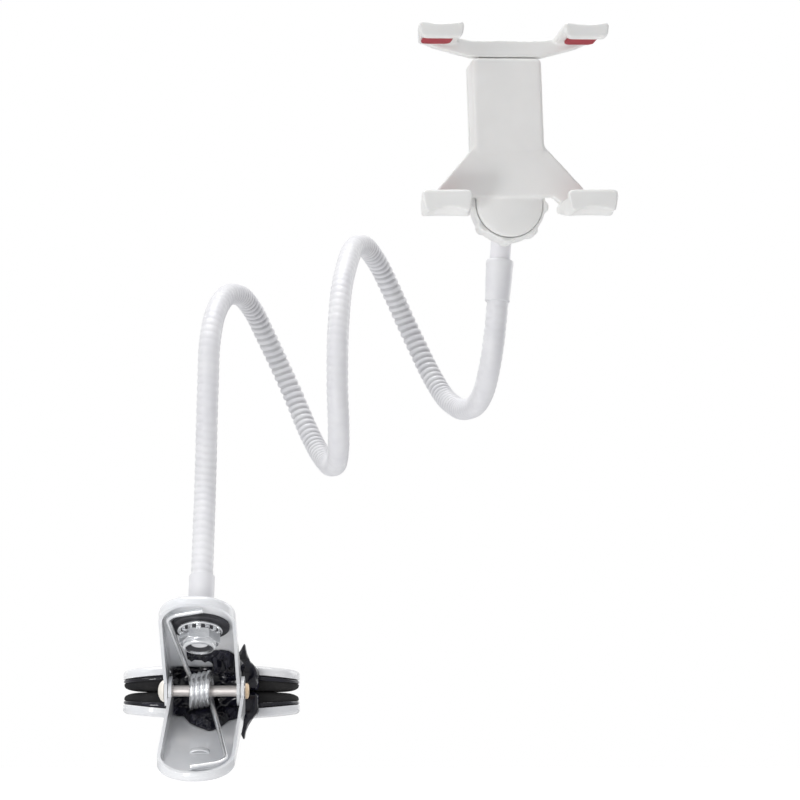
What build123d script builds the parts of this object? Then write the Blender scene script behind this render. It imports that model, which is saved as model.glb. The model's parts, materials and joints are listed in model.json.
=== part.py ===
from build123d import *
import os
from math import asin, atan, atan2, cos, hypot, pi, radians, sin, tan

os.makedirs("parts", exist_ok=True)

# Phone gooseneck holder: a sprung sheet-steel clip, a ribbed gooseneck bent into a loose spiral
# and a four-claw cradle on a ball joint. Millimetres, +Z up, +X to the right of someone who faces
# the cradle, +Y away from them. The origin is the middle of the clip's grip, between its pads.

# Gaps between neighbouring pieces
running_fit = 0.05
seat_gap = 0.1
sliding_gap = 0.3
neck_gap = 0.25
overrun = 4.0

# Clip: two folded levers that rock on one rod
sheet = 1.2
jaw_width = 68.0
jaw_depth = 34.0
jaw_corner = 13.0
jaw_rise = 10.4
jaw_bow = 2.2
rim_height = 3.4
rim_round = 2.0
strap_width = 22.0
pivot_y = -32.0
ear_radius = 5.5
bend_reach = -3.0
bend_round = 8.0
handle_reach = 58.0
handle_rise = 33.9
lip_drop = 3.4
wall_foot_rise = 2.5
tip_round = 13.2
waist_reach = 10.0
waist_round = 60.0
fold_round = 2.2
tip_half = 13.9
ear_half = 14.2
upper_ear_mid = -1.25
upper_tip_mid = 0.0
lower_tip_mid = -0.5
bridge_inset = 26.0
bridge_width = 7.0
bridge_radius = 1.7
level_slack = 0.05
across_share = 0.5

# Pivot rivet and torsion spring
rod_radius = 2.1
head_radius = 4.2
head_height = 2.4
peen_radius = 3.0
peen_height = 1.5
wire_radius = 1.0
coil_radius = 6.0
coil_turns = 4
coil_left = -6.2
coil_right = 2.0
coil_rise = 1.6
coil_level_share = 0.3
coil_steps = 16
wire_sides = 8
leg_spread = 11.2
knee_inset = 10.0
foot_length = 13.3
foot_slant = 2.5
foot_lift = 1.3
knee_round = 4.5

# Foam pads and throat boots; a flap's two numbers are its left and right edges
pad_gap = 0.4
pad_crown = 0.5
pad_inset = 0.4
pad_edge = 2.6
boot_front = 24.3
boot_left = -14.6
boot_right = 19.0
boot_foot = 0.6
boot_shoulder = 8.0
boot_fin_x = 13.5
boot_fin_rise = 18.4
boot_flank_x = 16.3
boot_flank_rise = 11.6
boot_saddle = 12.2
flap_reach = 45.0
flap_thickness = 1.0
flap_root = 1.0
upper_flap = (3.6, 10.4)
lower_flap = (-8.0, 11.8)

# Foot of the gooseneck, bolted through the upper handle
base_inset = 24.0
stud_radius = 4.0
rubber_radius = 10.8
rubber_thickness = 1.5
clamp_radius = 8.3
clamp_thickness = 1.4
lock_radius = 7.4
lock_thickness = 1.0
lock_teeth = 14
tooth_gap_depth = 0.9
tooth_gap_width = 1.5
nut_across_flats = 13.0
nut_height = 4.8
nut_chamfer = 0.7
nut_collar_radius = 6.0
nut_collar_height = 2.5
nut_collar_round = 1.0
nut_mouth_radius = 4.9
nut_mouth_depth = 1.3
stud_recess = 0.9
collar_radius = 6.2
collar_height = 1.6
ferrule_radius = 4.75
ferrule_length = 18.0
ferrule_floor = 4.0

# Gooseneck skin, ribbed all along its spiral
neck_radius = 4.15
groove_depth = 0.42
rib_pitch = 2.85
neck_sides = 12
neck_route = [
    (0, -51.5, 62.4), (0, -46, 78.6), (0.5, -44, 113.8), (1.1, -40, 134.1), (3.7, -27, 148.5),
    (8.4, -9, 155), (13.8, 10, 152.5), (19.1, 20, 142.7), (28.3, 26, 123.2), (37.2, 19, 102.5),
    (43, 4, 91.5), (46.9, -14, 87), (49.4, -34, 89), (49.9, -46, 99.2), (49.5, -50, 113.7),
    (49.9, -47, 138.9), (51.9, -34, 159.4), (57.2, -8, 174.7), (63.4, 12, 172.2), (68.6, 21, 163.4),
    (77.8, 26, 143.9), (88, 17, 122.1), (94, 0, 112.4), (99.3, -18, 108.7), (103.8, -36, 111),
    (106.5, -48, 119.8),
]

# Upper ferrule and ball stud
elbow_right = 111.8
elbow_ahead = 52.0
elbow_rise = 177.6
stem_lean = 4.0
stem_radius = 3.9
stem_length = 22.0
sleeve_top = 16.5
sleeve_bottom = 32.6
sleeve_top_radius = 5.2
sleeve_bottom_radius = 4.6
sleeve_shoulder = 0.8
ball_radius = 7.0
ball_reach = 15.5
pin_radius = 2.5

# Swivel head
head_yaw = 8.5
head_roll = 1.8
hub_ahead = 9.5
hub_radius = 12.5
hub_edge = 1.4
hub_crown = 4.2
crown_mid_radius = 7.0
crown_mid_rise = 3.4
boss_radius = 10.6
boss_behind = 3.6
liner_thickness = 1.25
liner_front = 5.0
liner_start = 0.6
ring_radius = 13.8
ring_edge = 1.0
ring_gap = 0.5
flange_behind = 3.9
flange_thickness = 1.5
flange_opening = 6.5
lug_count = 8
lug_rise = 1.3
lug_radius = 3.0
lug_blend = 2.0
lug_angle = -5.0

# Cradle, measured from the hub centre: right, up and forward
grip_low = -0.4
grip_width = 59.0
claw_x = 26.8
lower_claw_width = 19.1
upper_claw_width = 17.1
claw_corner = 2.4
claw_root = 2.4
lower_nose = 7.75
upper_nose = 5.05
lower_scoop = 1.6
upper_scoop = 0.9
lip_inner = 19.6
lip_outer = 23.0
lip_overlap = 1.65
lip_round = 1.3
nose_depth = 4.5
nose_round = 1.5
claw_pad_width = 11.0
claw_pad_depth = 12.0
claw_pad_thickness = 1.0
plate_back = 1.2
plate_thickness = 3.8
web_rise = 2.0
web_top_x = 15.5
web_foot_x = 22.0
bar_rise = 2.0
housing_half = 13.2
housing_foot = 17.5
housing_top = 54.0
housing_front = 5.5
housing_back = -4.8
housing_wall = 3.2
housing_face = 3.0
housing_corner = 2.2
housing_edge = 1.4
housing_floor = 1.4
cover_thickness = 1.9
tongue_slot = 6.4
tongue_foot_gap = 0.6
slot_top = 48.0
peg_y = 21.5
peg_radius = 1.2
return_coil_radius = 1.9
return_wire_radius = 0.4
return_turns = 9
return_steps = 7
return_sides = 5
screw_radius = 0.9
screw_head_radius = 1.5
screw_head_height = 1.1
screw_length = 5.0
screw_inset = 3.6

# Places that follow from the driving sizes
bend_y = pivot_y - bend_reach
tip_y = pivot_y - handle_reach
ear_back = pivot_y + ear_radius
waist_y = pivot_y - waist_reach
lower_ear_mid = upper_ear_mid + sheet + sliding_gap
jaw_back = -jaw_depth / 2
elbow = Vector(elbow_right, -elbow_ahead, elbow_rise)
slope = atan((handle_rise - jaw_rise) / (handle_reach - bend_reach))


def plate_height(y):
    """Height of a handle's outer face above the grip plane."""
    return jaw_rise + (bend_y - y) * tan(slope)


def handle_form(side, ear_mid, tip_mid, inset, back_y, foot):
    """Solid form of a handle; inset moves its faces in to the inner side of the sheet."""
    knee = (bend_y - inset * tan(slope / 2), side * (jaw_rise - inset))
    far_y = tip_y - overrun
    far = (far_y, side * (plate_height(far_y) - inset / cos(slope)))
    back = (back_y, side * (jaw_rise - inset))
    with BuildPart() as form:
        with BuildSketch(Plane.YZ) as side_view:
            Polygon(back, knee, far, *[(y, side * z) for y, z in foot], align=None)
            fillet(side_view.vertices().sort_by_distance(knee)[0], bend_round + inset)
            if inset == 0:
                with Locations((pivot_y, 0)):
                    Circle(ear_radius)
        extrude(amount=jaw_width / 2, both=True)
        with BuildSketch() as plan_view:
            tip_x = tip_half - inset
            ear_x = ear_half - inset
            front_y = tip_y + inset
            Polygon(
                (ear_mid + ear_x, back_y), (ear_mid + ear_x, waist_y), (tip_mid + tip_x, front_y),
                (tip_mid - tip_x, front_y), (ear_mid - ear_x, waist_y), (ear_mid - ear_x, back_y), align=None,
            )
            by_reach = plan_view.vertices().group_by(Axis.Y)
            fillet(by_reach[1], waist_round)
            by_reach = plan_view.vertices().group_by(Axis.Y)
            fillet(by_reach[0], tip_round - inset)
        extrude(amount=2 * handle_rise, both=True, mode=Mode.INTERSECT)
        top_faces = form.faces().filter_by(lambda f: side * f.normal_at().Z > cos(slope) - level_slack)
        rounded = top_faces.edges().filter_by(
            lambda e: e.center().Y < bend_y - bend_round or abs((e % 0.5).X) < across_share
        )
        fillet(rounded, fold_round - inset)
    return form.part


def bowed_slab(side, top, top_bow, foot, foot_bow, inset):
    """Slab over the whole jaw whose two broad faces are arched along X; inset narrows its outline."""
    half = jaw_width / 2
    with BuildPart() as slab:
        with BuildSketch(Plane.XZ):
            with BuildLine():
                ends = [(half, side * (foot - foot_bow)), (half, side * (top - top_bow))]
                far_ends = [(-x, z) for x, z in ends]
                ThreePointArc(far_ends[1], (0, side * top), ends[1])
                Line(ends[1], ends[0])
                ThreePointArc(ends[0], (0, side * foot), far_ends[0])
                Line(far_ends[0], far_ends[1])
            make_face()
        extrude(amount=jaw_depth, both=True)
        with BuildSketch():
            RectangleRounded(jaw_width - 2 * inset, jaw_depth - 2 * inset, jaw_corner - inset)
        extrude(amount=2 * handle_rise, both=True, mode=Mode.INTERSECT)
    return slab.part


def jaw_form(side, inset, drop):
    """Bowed jaw plate with its rim, solid; inset gives the hollow inside the sheet, drop a lower foot."""
    foot = jaw_rise - rim_height - drop
    slab = bowed_slab(side, jaw_rise - inset, jaw_bow, foot, jaw_bow, inset)
    with BuildPart() as form:
        add(slab)
        crown = form.faces().sort_by(Axis.Z)[-1 if side > 0 else 0]
        fillet(crown.edges(), rim_round - inset)
    return form.part


def lever_body(side, ear_mid, tip_mid):
    """One stamped lever: handle channel with ears, flat neck and dished jaw plate."""
    far_y = tip_y - overrun
    wall_foot = [
        (far_y, plate_height(far_y) - lip_drop), (pivot_y - ear_radius, wall_foot_rise),
        (ear_back, wall_foot_rise),
    ]
    open_back = ear_back + overrun
    open_foot = [(far_y, -ear_radius - overrun), (open_back, -ear_radius - overrun)]
    outer = handle_form(side, ear_mid, tip_mid, 0, ear_back, wall_foot)
    inner = handle_form(side, ear_mid, tip_mid, sheet, open_back, open_foot)
    dish = jaw_form(side, 0, 0)
    hollow = jaw_form(side, sheet, overrun)
    strap_start = ear_back - overrun
    strap_end = jaw_back + rim_round + sheet
    with BuildPart() as body:
        add(outer)
        add(dish)
        with BuildSketch(Plane.XY.offset(side * jaw_rise)):
            with Locations((0, (strap_start + strap_end) / 2)):
                Rectangle(strap_width, strap_end - strap_start)
        extrude(amount=-side * sheet)
        add(inner, mode=Mode.SUBTRACT)
        add(hollow, mode=Mode.SUBTRACT)
        with BuildSketch(Plane.YZ):
            with Locations((pivot_y, 0)):
                Circle(rod_radius + running_fit)
        extrude(amount=jaw_width / 2, both=True, mode=Mode.SUBTRACT)
    return body.part


def tube_along(stations, radii, sides, first_x):
    """Tube of flat bands through polygon sections, carried along without twist."""
    across = Vector(first_x)
    with BuildPart() as tube:
        for (point, direction), radius in zip(stations, radii):
            across = (across - direction * across.dot(direction)).normalized()
            with BuildSketch(Plane(origin=point, x_dir=across, z_dir=direction)):
                RegularPolygon(radius, sides)
        loft(ruled=True)
    return tube.part


def stations_through(points):
    """Each point with the mean direction of the runs on its two sides."""
    runs = [(b - a).normalized() for a, b in zip(points, points[1:])]
    before = [runs[0]] + runs
    after = runs + [runs[-1]]
    return [(p, (a + b).normalized()) for p, a, b in zip(points, before, after)]


# Upper lever: carries the gooseneck in a hole through its handle
base_y = tip_y + base_inset
base_plane = Plane(
    origin=(0, base_y, plate_height(base_y)), x_dir=(1, 0, 0), z_dir=(0, sin(slope), cos(slope))
)
upper_body = lever_body(1, upper_ear_mid, upper_tip_mid)
with BuildPart() as upper_lever:
    add(upper_body)
    with BuildSketch(base_plane):
        Circle(stud_radius + seat_gap)
    extrude(amount=sheet + overrun, both=True, mode=Mode.SUBTRACT)
upper_lever.part.label = "upper_lever"
export_step(upper_lever.part, "parts/upper_lever.step")

# Lower lever: its ears are one sheet to the right of the upper ones, so the two handles nest;
# a small bridge is pressed up in its handle
lower_body = lever_body(-1, lower_ear_mid, lower_tip_mid)
bridge_y = tip_y + bridge_inset
bridge_z = -plate_height(bridge_y) + sheet / cos(slope)
with BuildPart() as lower_lever:
    add(lower_body)
    with BuildSketch(Plane.YZ.offset(-bridge_width / 2)):
        with Locations((bridge_y, bridge_z)):
            Circle(bridge_radius)
    extrude(amount=bridge_width)
    with BuildSketch(Plane.YZ.offset(-bridge_width / 2)):
        with Locations((bridge_y, bridge_z - sheet)):
            Circle(bridge_radius)
    extrude(amount=bridge_width, mode=Mode.SUBTRACT)
lower_lever.part.label = "lower_lever"
export_step(lower_lever.part, "parts/lower_lever.step")

# Pivot rivet: domed head on the left, peened end on the right
left_face = upper_ear_mid - ear_half - sliding_gap
right_face = lower_ear_mid + ear_half + sliding_gap
with BuildPart() as pivot_rivet:
    with BuildSketch(Plane.YZ.offset(left_face)):
        with Locations((pivot_y, 0)):
            Circle(rod_radius)
    extrude(amount=right_face - left_face)
    with BuildSketch(Plane.YZ.offset(left_face)):
        with Locations((pivot_y, 0)):
            Circle(head_radius)
    extrude(amount=-head_height)
    fillet(pivot_rivet.faces().sort_by(Axis.X)[0].edges(), head_height - seat_gap)
    with BuildSketch(Plane.YZ.offset(right_face)):
        with Locations((pivot_y, 0)):
            Circle(peen_radius)
    extrude(amount=peen_height)
    chamfer(pivot_rivet.faces().sort_by(Axis.X)[-1].edges(), peen_height / 2)
pivot_rivet.part.label = "pivot_rivet"
export_step(pivot_rivet.part, "parts/pivot_rivet.step")

# Torsion spring: coil on the rod, a leg along each handle and a foot turned in under each lip
knee_y = tip_y + knee_inset
knee_z = plate_height(knee_y) - (sheet + wire_radius + sliding_gap + foot_lift) / cos(slope)
knee_reach = pivot_y - knee_y
leg_slope = atan2(knee_z, knee_reach) - asin(coil_radius / hypot(knee_reach, knee_z))
first_angle = leg_slope
last_angle = pi - leg_slope + 2 * pi * coil_turns


def coil_point(angle):
    """Point on the spring's coil; angle 0 is on top, and it turns towards the jaws."""
    share = (angle - first_angle) / (last_angle - first_angle)
    x = coil_left + (coil_right - coil_left) * share
    z = coil_radius * cos(angle) + coil_rise * (share - coil_level_share)
    return Vector(x, pivot_y + coil_radius * sin(angle), z)


def leg_points(side):
    """Foot and leg of one arm of the spring, from the foot's end towards the coil."""
    knee = Vector(-side * leg_spread, knee_y, side * knee_z)
    foot_y = -foot_slant * cos(slope) + foot_lift * sin(slope)
    foot_z = foot_slant * sin(slope) + foot_lift * cos(slope)
    foot = knee + Vector(side * foot_length, foot_y, side * foot_z)
    tangent = coil_point(first_angle if side > 0 else last_angle)
    with BuildLine() as leg:
        FilletPolyline(foot, knee, tangent, radius=knee_round)
    bend = leg.edges().filter_by(GeomType.CIRCLE)[0]
    turns = [bend @ t for t in (0, 0.25, 0.5, 0.75, 1)]
    if (turns[0] - foot).length > (turns[-1] - foot).length:
        turns.reverse()
    return [foot] + turns


coil_count = round((last_angle - first_angle) / (2 * pi) * coil_steps)
coil_angles = [first_angle + (last_angle - first_angle) * i / coil_count for i in range(coil_count + 1)]
spring_points = leg_points(1) + [coil_point(a) for a in coil_angles] + leg_points(-1)[::-1]
spring_tube = tube_along(
    stations_through(spring_points), [wire_radius] * len(spring_points), wire_sides, (0, 0, 1)
)
with BuildPart() as torsion_spring:
    add(spring_tube)
torsion_spring.part.label = "torsion_spring"
export_step(torsion_spring.part, "parts/torsion_spring.step")


def jaw_pad(side):
    """Foam pad: a core seated in the jaw plate and a broader, crowned slab below its rim."""
    core = jaw_form(side, sheet + seat_gap, sheet)
    slab_top = jaw_rise - rim_height - seat_gap
    slab = bowed_slab(side, slab_top, jaw_bow, pad_gap / 2, -pad_crown, pad_inset)
    with BuildPart() as pad:
        add(slab)
        grip_face = pad.faces().sort_by(Axis.Z)[0 if side > 0 else -1]
        fillet(grip_face.edges(), pad_edge)
        add(core)
    return pad.part


def throat_boot(side, flap):
    """Soft guard round a lever's neck: a fin beside the handle and a flap inside its channel."""
    boot_depth = boot_front + jaw_back - sliding_gap
    fin = (boot_fin_x, side * boot_fin_rise)
    shoulder = (boot_right, side * boot_shoulder)
    flank = (boot_flank_x, side * boot_flank_rise)
    slot_height = sheet + 2 * seat_gap
    flap_top = jaw_rise - sheet - seat_gap
    flap_end = plate_height(-flap_reach) - (sheet + seat_gap) / cos(slope)
    flap_line = [(flap_root - boot_front, flap_top), (bend_y, flap_top), (-flap_reach, flap_end)]
    flap_under = [(y, z - flap_thickness) for y, z in reversed(flap_line)]
    with BuildPart() as boot:
        with BuildSketch(Plane.XZ.offset(boot_front)):
            with BuildLine():
                Polyline((boot_left, side * boot_foot), (boot_right, side * boot_foot), shoulder)
                ThreePointArc(shoulder, flank, fin)
                Polyline(fin, (boot_left, side * boot_saddle), (boot_left, side * boot_foot))
            make_face()
        extrude(amount=-boot_depth)
        with BuildSketch(Plane.XZ.offset(boot_front + overrun)):
            with Locations((0, side * (jaw_rise - sheet / 2))):
                Rectangle(strap_width + 2 * seat_gap, slot_height)
        extrude(amount=-boot_depth - 2 * overrun, mode=Mode.SUBTRACT)
        with BuildSketch(Plane.YZ.offset(flap[0])):
            Polygon(*[(y, side * z) for y, z in flap_line + flap_under], align=None)
        extrude(amount=flap[1] - flap[0])
    return boot.part


upper_pad_body = jaw_pad(1)
with BuildPart() as upper_jaw_pad:
    add(upper_pad_body)
upper_jaw_pad.part.label = "upper_jaw_pad"
export_step(upper_jaw_pad.part, "parts/upper_jaw_pad.step")

lower_pad_body = jaw_pad(-1)
with BuildPart() as lower_jaw_pad:
    add(lower_pad_body)
lower_jaw_pad.part.label = "lower_jaw_pad"
export_step(lower_jaw_pad.part, "parts/lower_jaw_pad.step")

upper_boot_body = throat_boot(1, upper_flap)
with BuildPart() as upper_jaw_boot:
    add(upper_boot_body)
upper_jaw_boot.part.label = "upper_jaw_boot"
export_step(upper_jaw_boot.part, "parts/upper_jaw_boot.step")

lower_boot_body = throat_boot(-1, lower_flap)
with BuildPart() as lower_jaw_boot:
    add(lower_boot_body)
lower_jaw_boot.part.label = "lower_jaw_boot"
export_step(lower_jaw_boot.part, "parts/lower_jaw_boot.step")

# Stack under the handle plate: rubber washer, plain washer, toothed lock washer, collared nut
rubber_face = -sheet
clamp_face = rubber_face - rubber_thickness
lock_face = clamp_face - clamp_thickness
nut_face = lock_face - lock_thickness
with BuildPart() as rubber_washer:
    with BuildSketch(base_plane.offset(rubber_face)):
        Circle(rubber_radius)
        Circle(stud_radius + seat_gap, mode=Mode.SUBTRACT)
    extrude(amount=-rubber_thickness)
rubber_washer.part.label = "rubber_washer"
export_step(rubber_washer.part, "parts/rubber_washer.step")

with BuildPart() as clamp_washer:
    with BuildSketch(base_plane.offset(clamp_face)):
        Circle(clamp_radius)
        Circle(stud_radius + seat_gap, mode=Mode.SUBTRACT)
    extrude(amount=-clamp_thickness)
    fillet(clamp_washer.edges().filter_by(GeomType.CIRCLE).sort_by(SortBy.RADIUS)[-2:], clamp_thickness / 3)
clamp_washer.part.label = "clamp_washer"
export_step(clamp_washer.part, "parts/clamp_washer.step")

with BuildPart() as lock_washer:
    with BuildSketch(base_plane.offset(lock_face)):
        Circle(lock_radius)
        Circle(stud_radius + seat_gap, mode=Mode.SUBTRACT)
        with PolarLocations(lock_radius, lock_teeth):
            Rectangle(2 * tooth_gap_depth, tooth_gap_width, mode=Mode.SUBTRACT)
    extrude(amount=-lock_thickness)
lock_washer.part.label = "lock_washer"
export_step(lock_washer.part, "parts/lock_washer.step")

nut_corner_radius = nut_across_flats / 2 / cos(pi / 6)
nut_end = nut_face - nut_height - nut_collar_height
with BuildPart() as nut_barrel:
    with BuildSketch(base_plane.offset(nut_face)):
        Circle(nut_corner_radius)
    extrude(amount=-nut_height)
    chamfer(nut_barrel.edges().filter_by(GeomType.CIRCLE), nut_chamfer / 2, nut_chamfer)
with BuildPart() as base_nut:
    with BuildSketch(base_plane.offset(nut_face)):
        RegularPolygon(nut_corner_radius, 6)
    extrude(amount=-nut_height)
    add(nut_barrel.part, mode=Mode.INTERSECT)
    with BuildSketch(base_plane.offset(nut_face - nut_height)):
        Circle(nut_collar_radius)
    extrude(amount=-nut_collar_height)
    collar_face = base_nut.faces().sort_by_distance(base_plane.offset(nut_end).origin)[0]
    fillet(collar_face.edges(), nut_collar_round)
    with BuildSketch(base_plane.offset(nut_face)):
        Circle(stud_radius + running_fit)
    extrude(amount=nut_end - nut_face, mode=Mode.SUBTRACT)
    with BuildSketch(base_plane.offset(nut_end)):
        Circle(nut_mouth_radius)
    extrude(amount=nut_mouth_depth, mode=Mode.SUBTRACT)
base_nut.part.label = "base_nut"
export_step(base_nut.part, "parts/base_nut.step")

# Lower ferrule: turned in one piece with the stud that goes through the handle and the stack
stud_end = nut_end + stud_recess
neck_bore = neck_radius + neck_gap
ferrule_section = Plane(origin=base_plane.origin, x_dir=base_plane.x_dir, z_dir=-base_plane.y_dir)
with BuildPart() as lower_ferrule:
    with BuildSketch(ferrule_section):
        Polygon(
            (0, stud_end), (stud_radius, stud_end), (stud_radius, 0), (collar_radius, 0),
            (collar_radius, collar_height), (ferrule_radius, collar_height),
            (ferrule_radius, ferrule_length), (neck_bore, ferrule_length), (neck_bore, ferrule_floor),
            (0, ferrule_floor), align=None,
        )
    revolve(axis=Axis(base_plane.origin, base_plane.z_dir))
lower_ferrule.part.label = "lower_ferrule"
export_step(lower_ferrule.part, "parts/lower_ferrule.step")

# Gooseneck: one ribbed skin over its bendable wires, seated in a ferrule at each end
lean = radians(stem_lean)
stem_plane = Plane(origin=elbow, x_dir=(cos(lean), 0, -sin(lean)), z_dir=(sin(lean), 0, cos(lean)))
neck_start = base_plane.origin + base_plane.z_dir * (ferrule_floor + seat_gap)
neck_end = elbow - stem_plane.z_dir * (stem_length + seat_gap)
neck_mouth = base_plane.origin + base_plane.z_dir * (ferrule_length + 2 * neck_radius)
sleeve_mouth = elbow - stem_plane.z_dir * (sleeve_bottom + 2 * neck_radius)
with BuildLine() as neck_line:
    Spline(
        neck_start, neck_mouth, *neck_route, sleeve_mouth, neck_end,
        tangents=(base_plane.z_dir, stem_plane.z_dir),
    )
neck_path = neck_line.edges()[0]
half_ribs = 2 * round(neck_path.length / rib_pitch)
neck_stations = [(neck_path @ (i / half_ribs), neck_path % (i / half_ribs)) for i in range(half_ribs + 1)]
neck_radii = [neck_radius - groove_depth * ((i + 1) % 2) for i in range(half_ribs + 1)]
neck_tube = tube_along(neck_stations, neck_radii, neck_sides, (1, 0, 0))
with BuildPart() as gooseneck:
    add(neck_tube)
gooseneck.part.label = "gooseneck"
export_step(gooseneck.part, "parts/gooseneck.step")

# Upper ferrule: shrunk sleeve over the end of the gooseneck and the foot of the ball stud
stem_section = Plane(origin=elbow, x_dir=stem_plane.x_dir, z_dir=-stem_plane.y_dir)
stem_bore = stem_radius + seat_gap
with BuildPart() as upper_ferrule:
    with BuildSketch(stem_section):
        Polygon(
            (stem_bore, -sleeve_top), (sleeve_top_radius - sleeve_shoulder / 2, -sleeve_top),
            (sleeve_top_radius, -sleeve_top - sleeve_shoulder), (sleeve_bottom_radius, -sleeve_bottom),
            (neck_bore, -sleeve_bottom), (neck_bore, -stem_length), (stem_bore, -stem_length),
            align=None,
        )
    revolve(axis=Axis(elbow, stem_plane.z_dir))
upper_ferrule.part.label = "upper_ferrule"
export_step(upper_ferrule.part, "parts/upper_ferrule.step")

# Head frame: x right, y up and z forward, panned and spun a little on the ball
yaw = radians(head_yaw)
roll = radians(head_roll)
right = Vector(cos(yaw), sin(yaw), 0)
forward = Vector(sin(yaw), -cos(yaw), 0)
ball_centre = elbow - Vector(0, ball_reach, 0)
hub_centre = ball_centre + forward * hub_ahead
across = right * cos(roll) + Vector(0, 0, sin(roll))
head = Plane(origin=hub_centre, x_dir=across, z_dir=forward)
hub_section = Plane(origin=hub_centre, x_dir=right, z_dir=(0, 0, -1))
ball_section = Plane(origin=ball_centre, x_dir=right, z_dir=(0, 0, -1))
hub_axis = Axis(ball_centre, forward)

# Ball stud: stem, elbow, pin and ball in one moulding
with BuildPart() as ball_stud:
    with BuildSketch(stem_plane):
        Circle(stem_radius)
    extrude(amount=-stem_length)
    with Locations(elbow):
        Sphere(stem_radius)
    with BuildSketch(Plane(origin=elbow, x_dir=(1, 0, 0), z_dir=(0, -1, 0))):
        Circle(pin_radius)
    extrude(amount=ball_reach)
    with Locations(ball_centre):
        Sphere(ball_radius)
ball_stud.part.label = "ball_stud"
export_step(ball_stud.part, "parts/ball_stud.step")

# Socket liner: cup between the ball and the hub
liner_inner = ball_radius + running_fit
liner_outer = liner_inner + liner_thickness
with BuildPart() as socket_liner:
    with BuildSketch(ball_section):
        Circle(liner_outer)
        Circle(liner_inner, mode=Mode.SUBTRACT)
        with Locations((liner_outer, (liner_front + liner_start) / 2)):
            Rectangle(2 * liner_outer, liner_front - liner_start, mode=Mode.INTERSECT)
    revolve(axis=hub_axis)
socket_liner.part.label = "socket_liner"
export_step(socket_liner.part, "parts/socket_liner.step")

# Ring nut: closes on the ball from behind, with lugs for the fingers
ring_bore = boss_radius + seat_gap
ring_back = -hub_ahead - flange_behind - flange_thickness
lug_reach = ring_radius + lug_rise - lug_radius
with BuildPart() as ring_nut:
    with BuildSketch(head.offset(-ring_gap)) as ring_view:
        Circle(ring_radius)
        with PolarLocations(lug_reach, lug_count, start_angle=lug_angle):
            Circle(lug_radius)
        fillet(ring_view.vertices(), lug_blend)
    extrude(amount=ring_back + ring_gap)
    ring_faces = ring_nut.faces().sort_by(hub_axis)
    fillet(ring_faces[0].edges() + ring_faces[-1].edges(), ring_edge)
    with BuildSketch(head.offset(-ring_gap)):
        Circle(ring_bore)
    extrude(amount=ring_back + flange_thickness + ring_gap, mode=Mode.SUBTRACT)
    with BuildSketch(head.offset(ring_back)):
        Circle(flange_opening)
    extrude(amount=flange_thickness, mode=Mode.SUBTRACT)
ring_nut.part.label = "ring_nut"
export_step(ring_nut.part, "parts/ring_nut.step")

grip_high = grip_low + grip_width


def claw(x_mid, side, grip, nose, width, scoop):
    """Hooked claw; side is 1 for an upper claw and -1 for a lower one."""
    shelf = grip + side * claw_pad_thickness
    lip = grip - side * lip_overlap
    tip = grip + side * nose
    profile = [
        (plate_back, shelf), (lip_inner, shelf), (lip_inner, lip), (lip_outer, lip), (lip_outer, tip),
        (lip_outer - nose_depth, tip), (plate_back, shelf + side * claw_root),
    ]
    claw_origin = head.from_local_coords(Vector(x_mid, 0, 0))
    scoop_radius = (width ** 2 / 4 + scoop ** 2) / (2 * scoop)
    with BuildPart() as form:
        with BuildSketch(Plane(origin=claw_origin, x_dir=forward, z_dir=-across)) as side_view:
            Polygon(*profile, align=None)
            lip_corners = side_view.vertices().sort_by_distance((lip_outer, lip))[:2]
            fillet(lip_corners, lip_round)
            fillet(side_view.vertices().sort_by_distance((lip_outer, tip))[0], nose_round)
        extrude(amount=width, both=True)
        with BuildSketch(head):
            with Locations((x_mid, (lip + tip) / 2)):
                RectangleRounded(width, abs(tip - lip), claw_corner)
            with Locations((x_mid, tip + side * (scoop_radius - scoop))):
                Circle(scoop_radius, mode=Mode.SUBTRACT)
        extrude(amount=lip_outer + overrun, mode=Mode.INTERSECT)
    return form.part


def fork_plate(outline):
    """Flat plate behind the grip; outline is its right half."""
    with BuildPart() as plate:
        with BuildSketch(head.offset(plate_back)):
            with BuildLine():
                Polyline(*outline)
                mirror(about=Plane.YZ)
            make_face()
        extrude(amount=plate_thickness)
    return plate.part


# Lower fork: domed hub with the ball socket, slide housing and the two lower claws
cavity_radius = liner_outer + running_fit
arm_reach = claw_x + upper_claw_width / 2 - claw_corner
arm_inner = claw_x - upper_claw_width / 2 + claw_corner
pocket_half = housing_half - housing_wall
pocket_front = housing_front - housing_face
pocket_foot = housing_foot + housing_floor
lower_shelf = grip_low - claw_pad_thickness
lower_root = lower_shelf - claw_root
lower_plate = fork_plate([
    (0, housing_foot + housing_wall), (housing_half, housing_foot + housing_wall),
    (arm_reach, lower_shelf), (arm_reach, lower_root), (web_foot_x, lower_root),
    (web_top_x, web_rise), (0, web_rise),
])
lower_claws = [
    claw(hand * claw_x, -1, grip_low, lower_nose, lower_claw_width, lower_scoop) for hand in (-1, 1)
]
screw_places = [
    (x * (housing_half - housing_wall / 2), y)
    for x in (-1, 1)
    for y in (housing_foot + screw_inset, housing_top - screw_inset)
]
with BuildPart() as housing_shell:
    with BuildSketch(head.offset(housing_front)):
        with Locations((0, (housing_foot + housing_top) / 2)):
            RectangleRounded(2 * housing_half, housing_top - housing_foot, housing_corner)
    extrude(amount=housing_back - housing_front)
    fillet(housing_shell.faces().sort_by(hub_axis)[-1].edges(), housing_edge)
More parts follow.
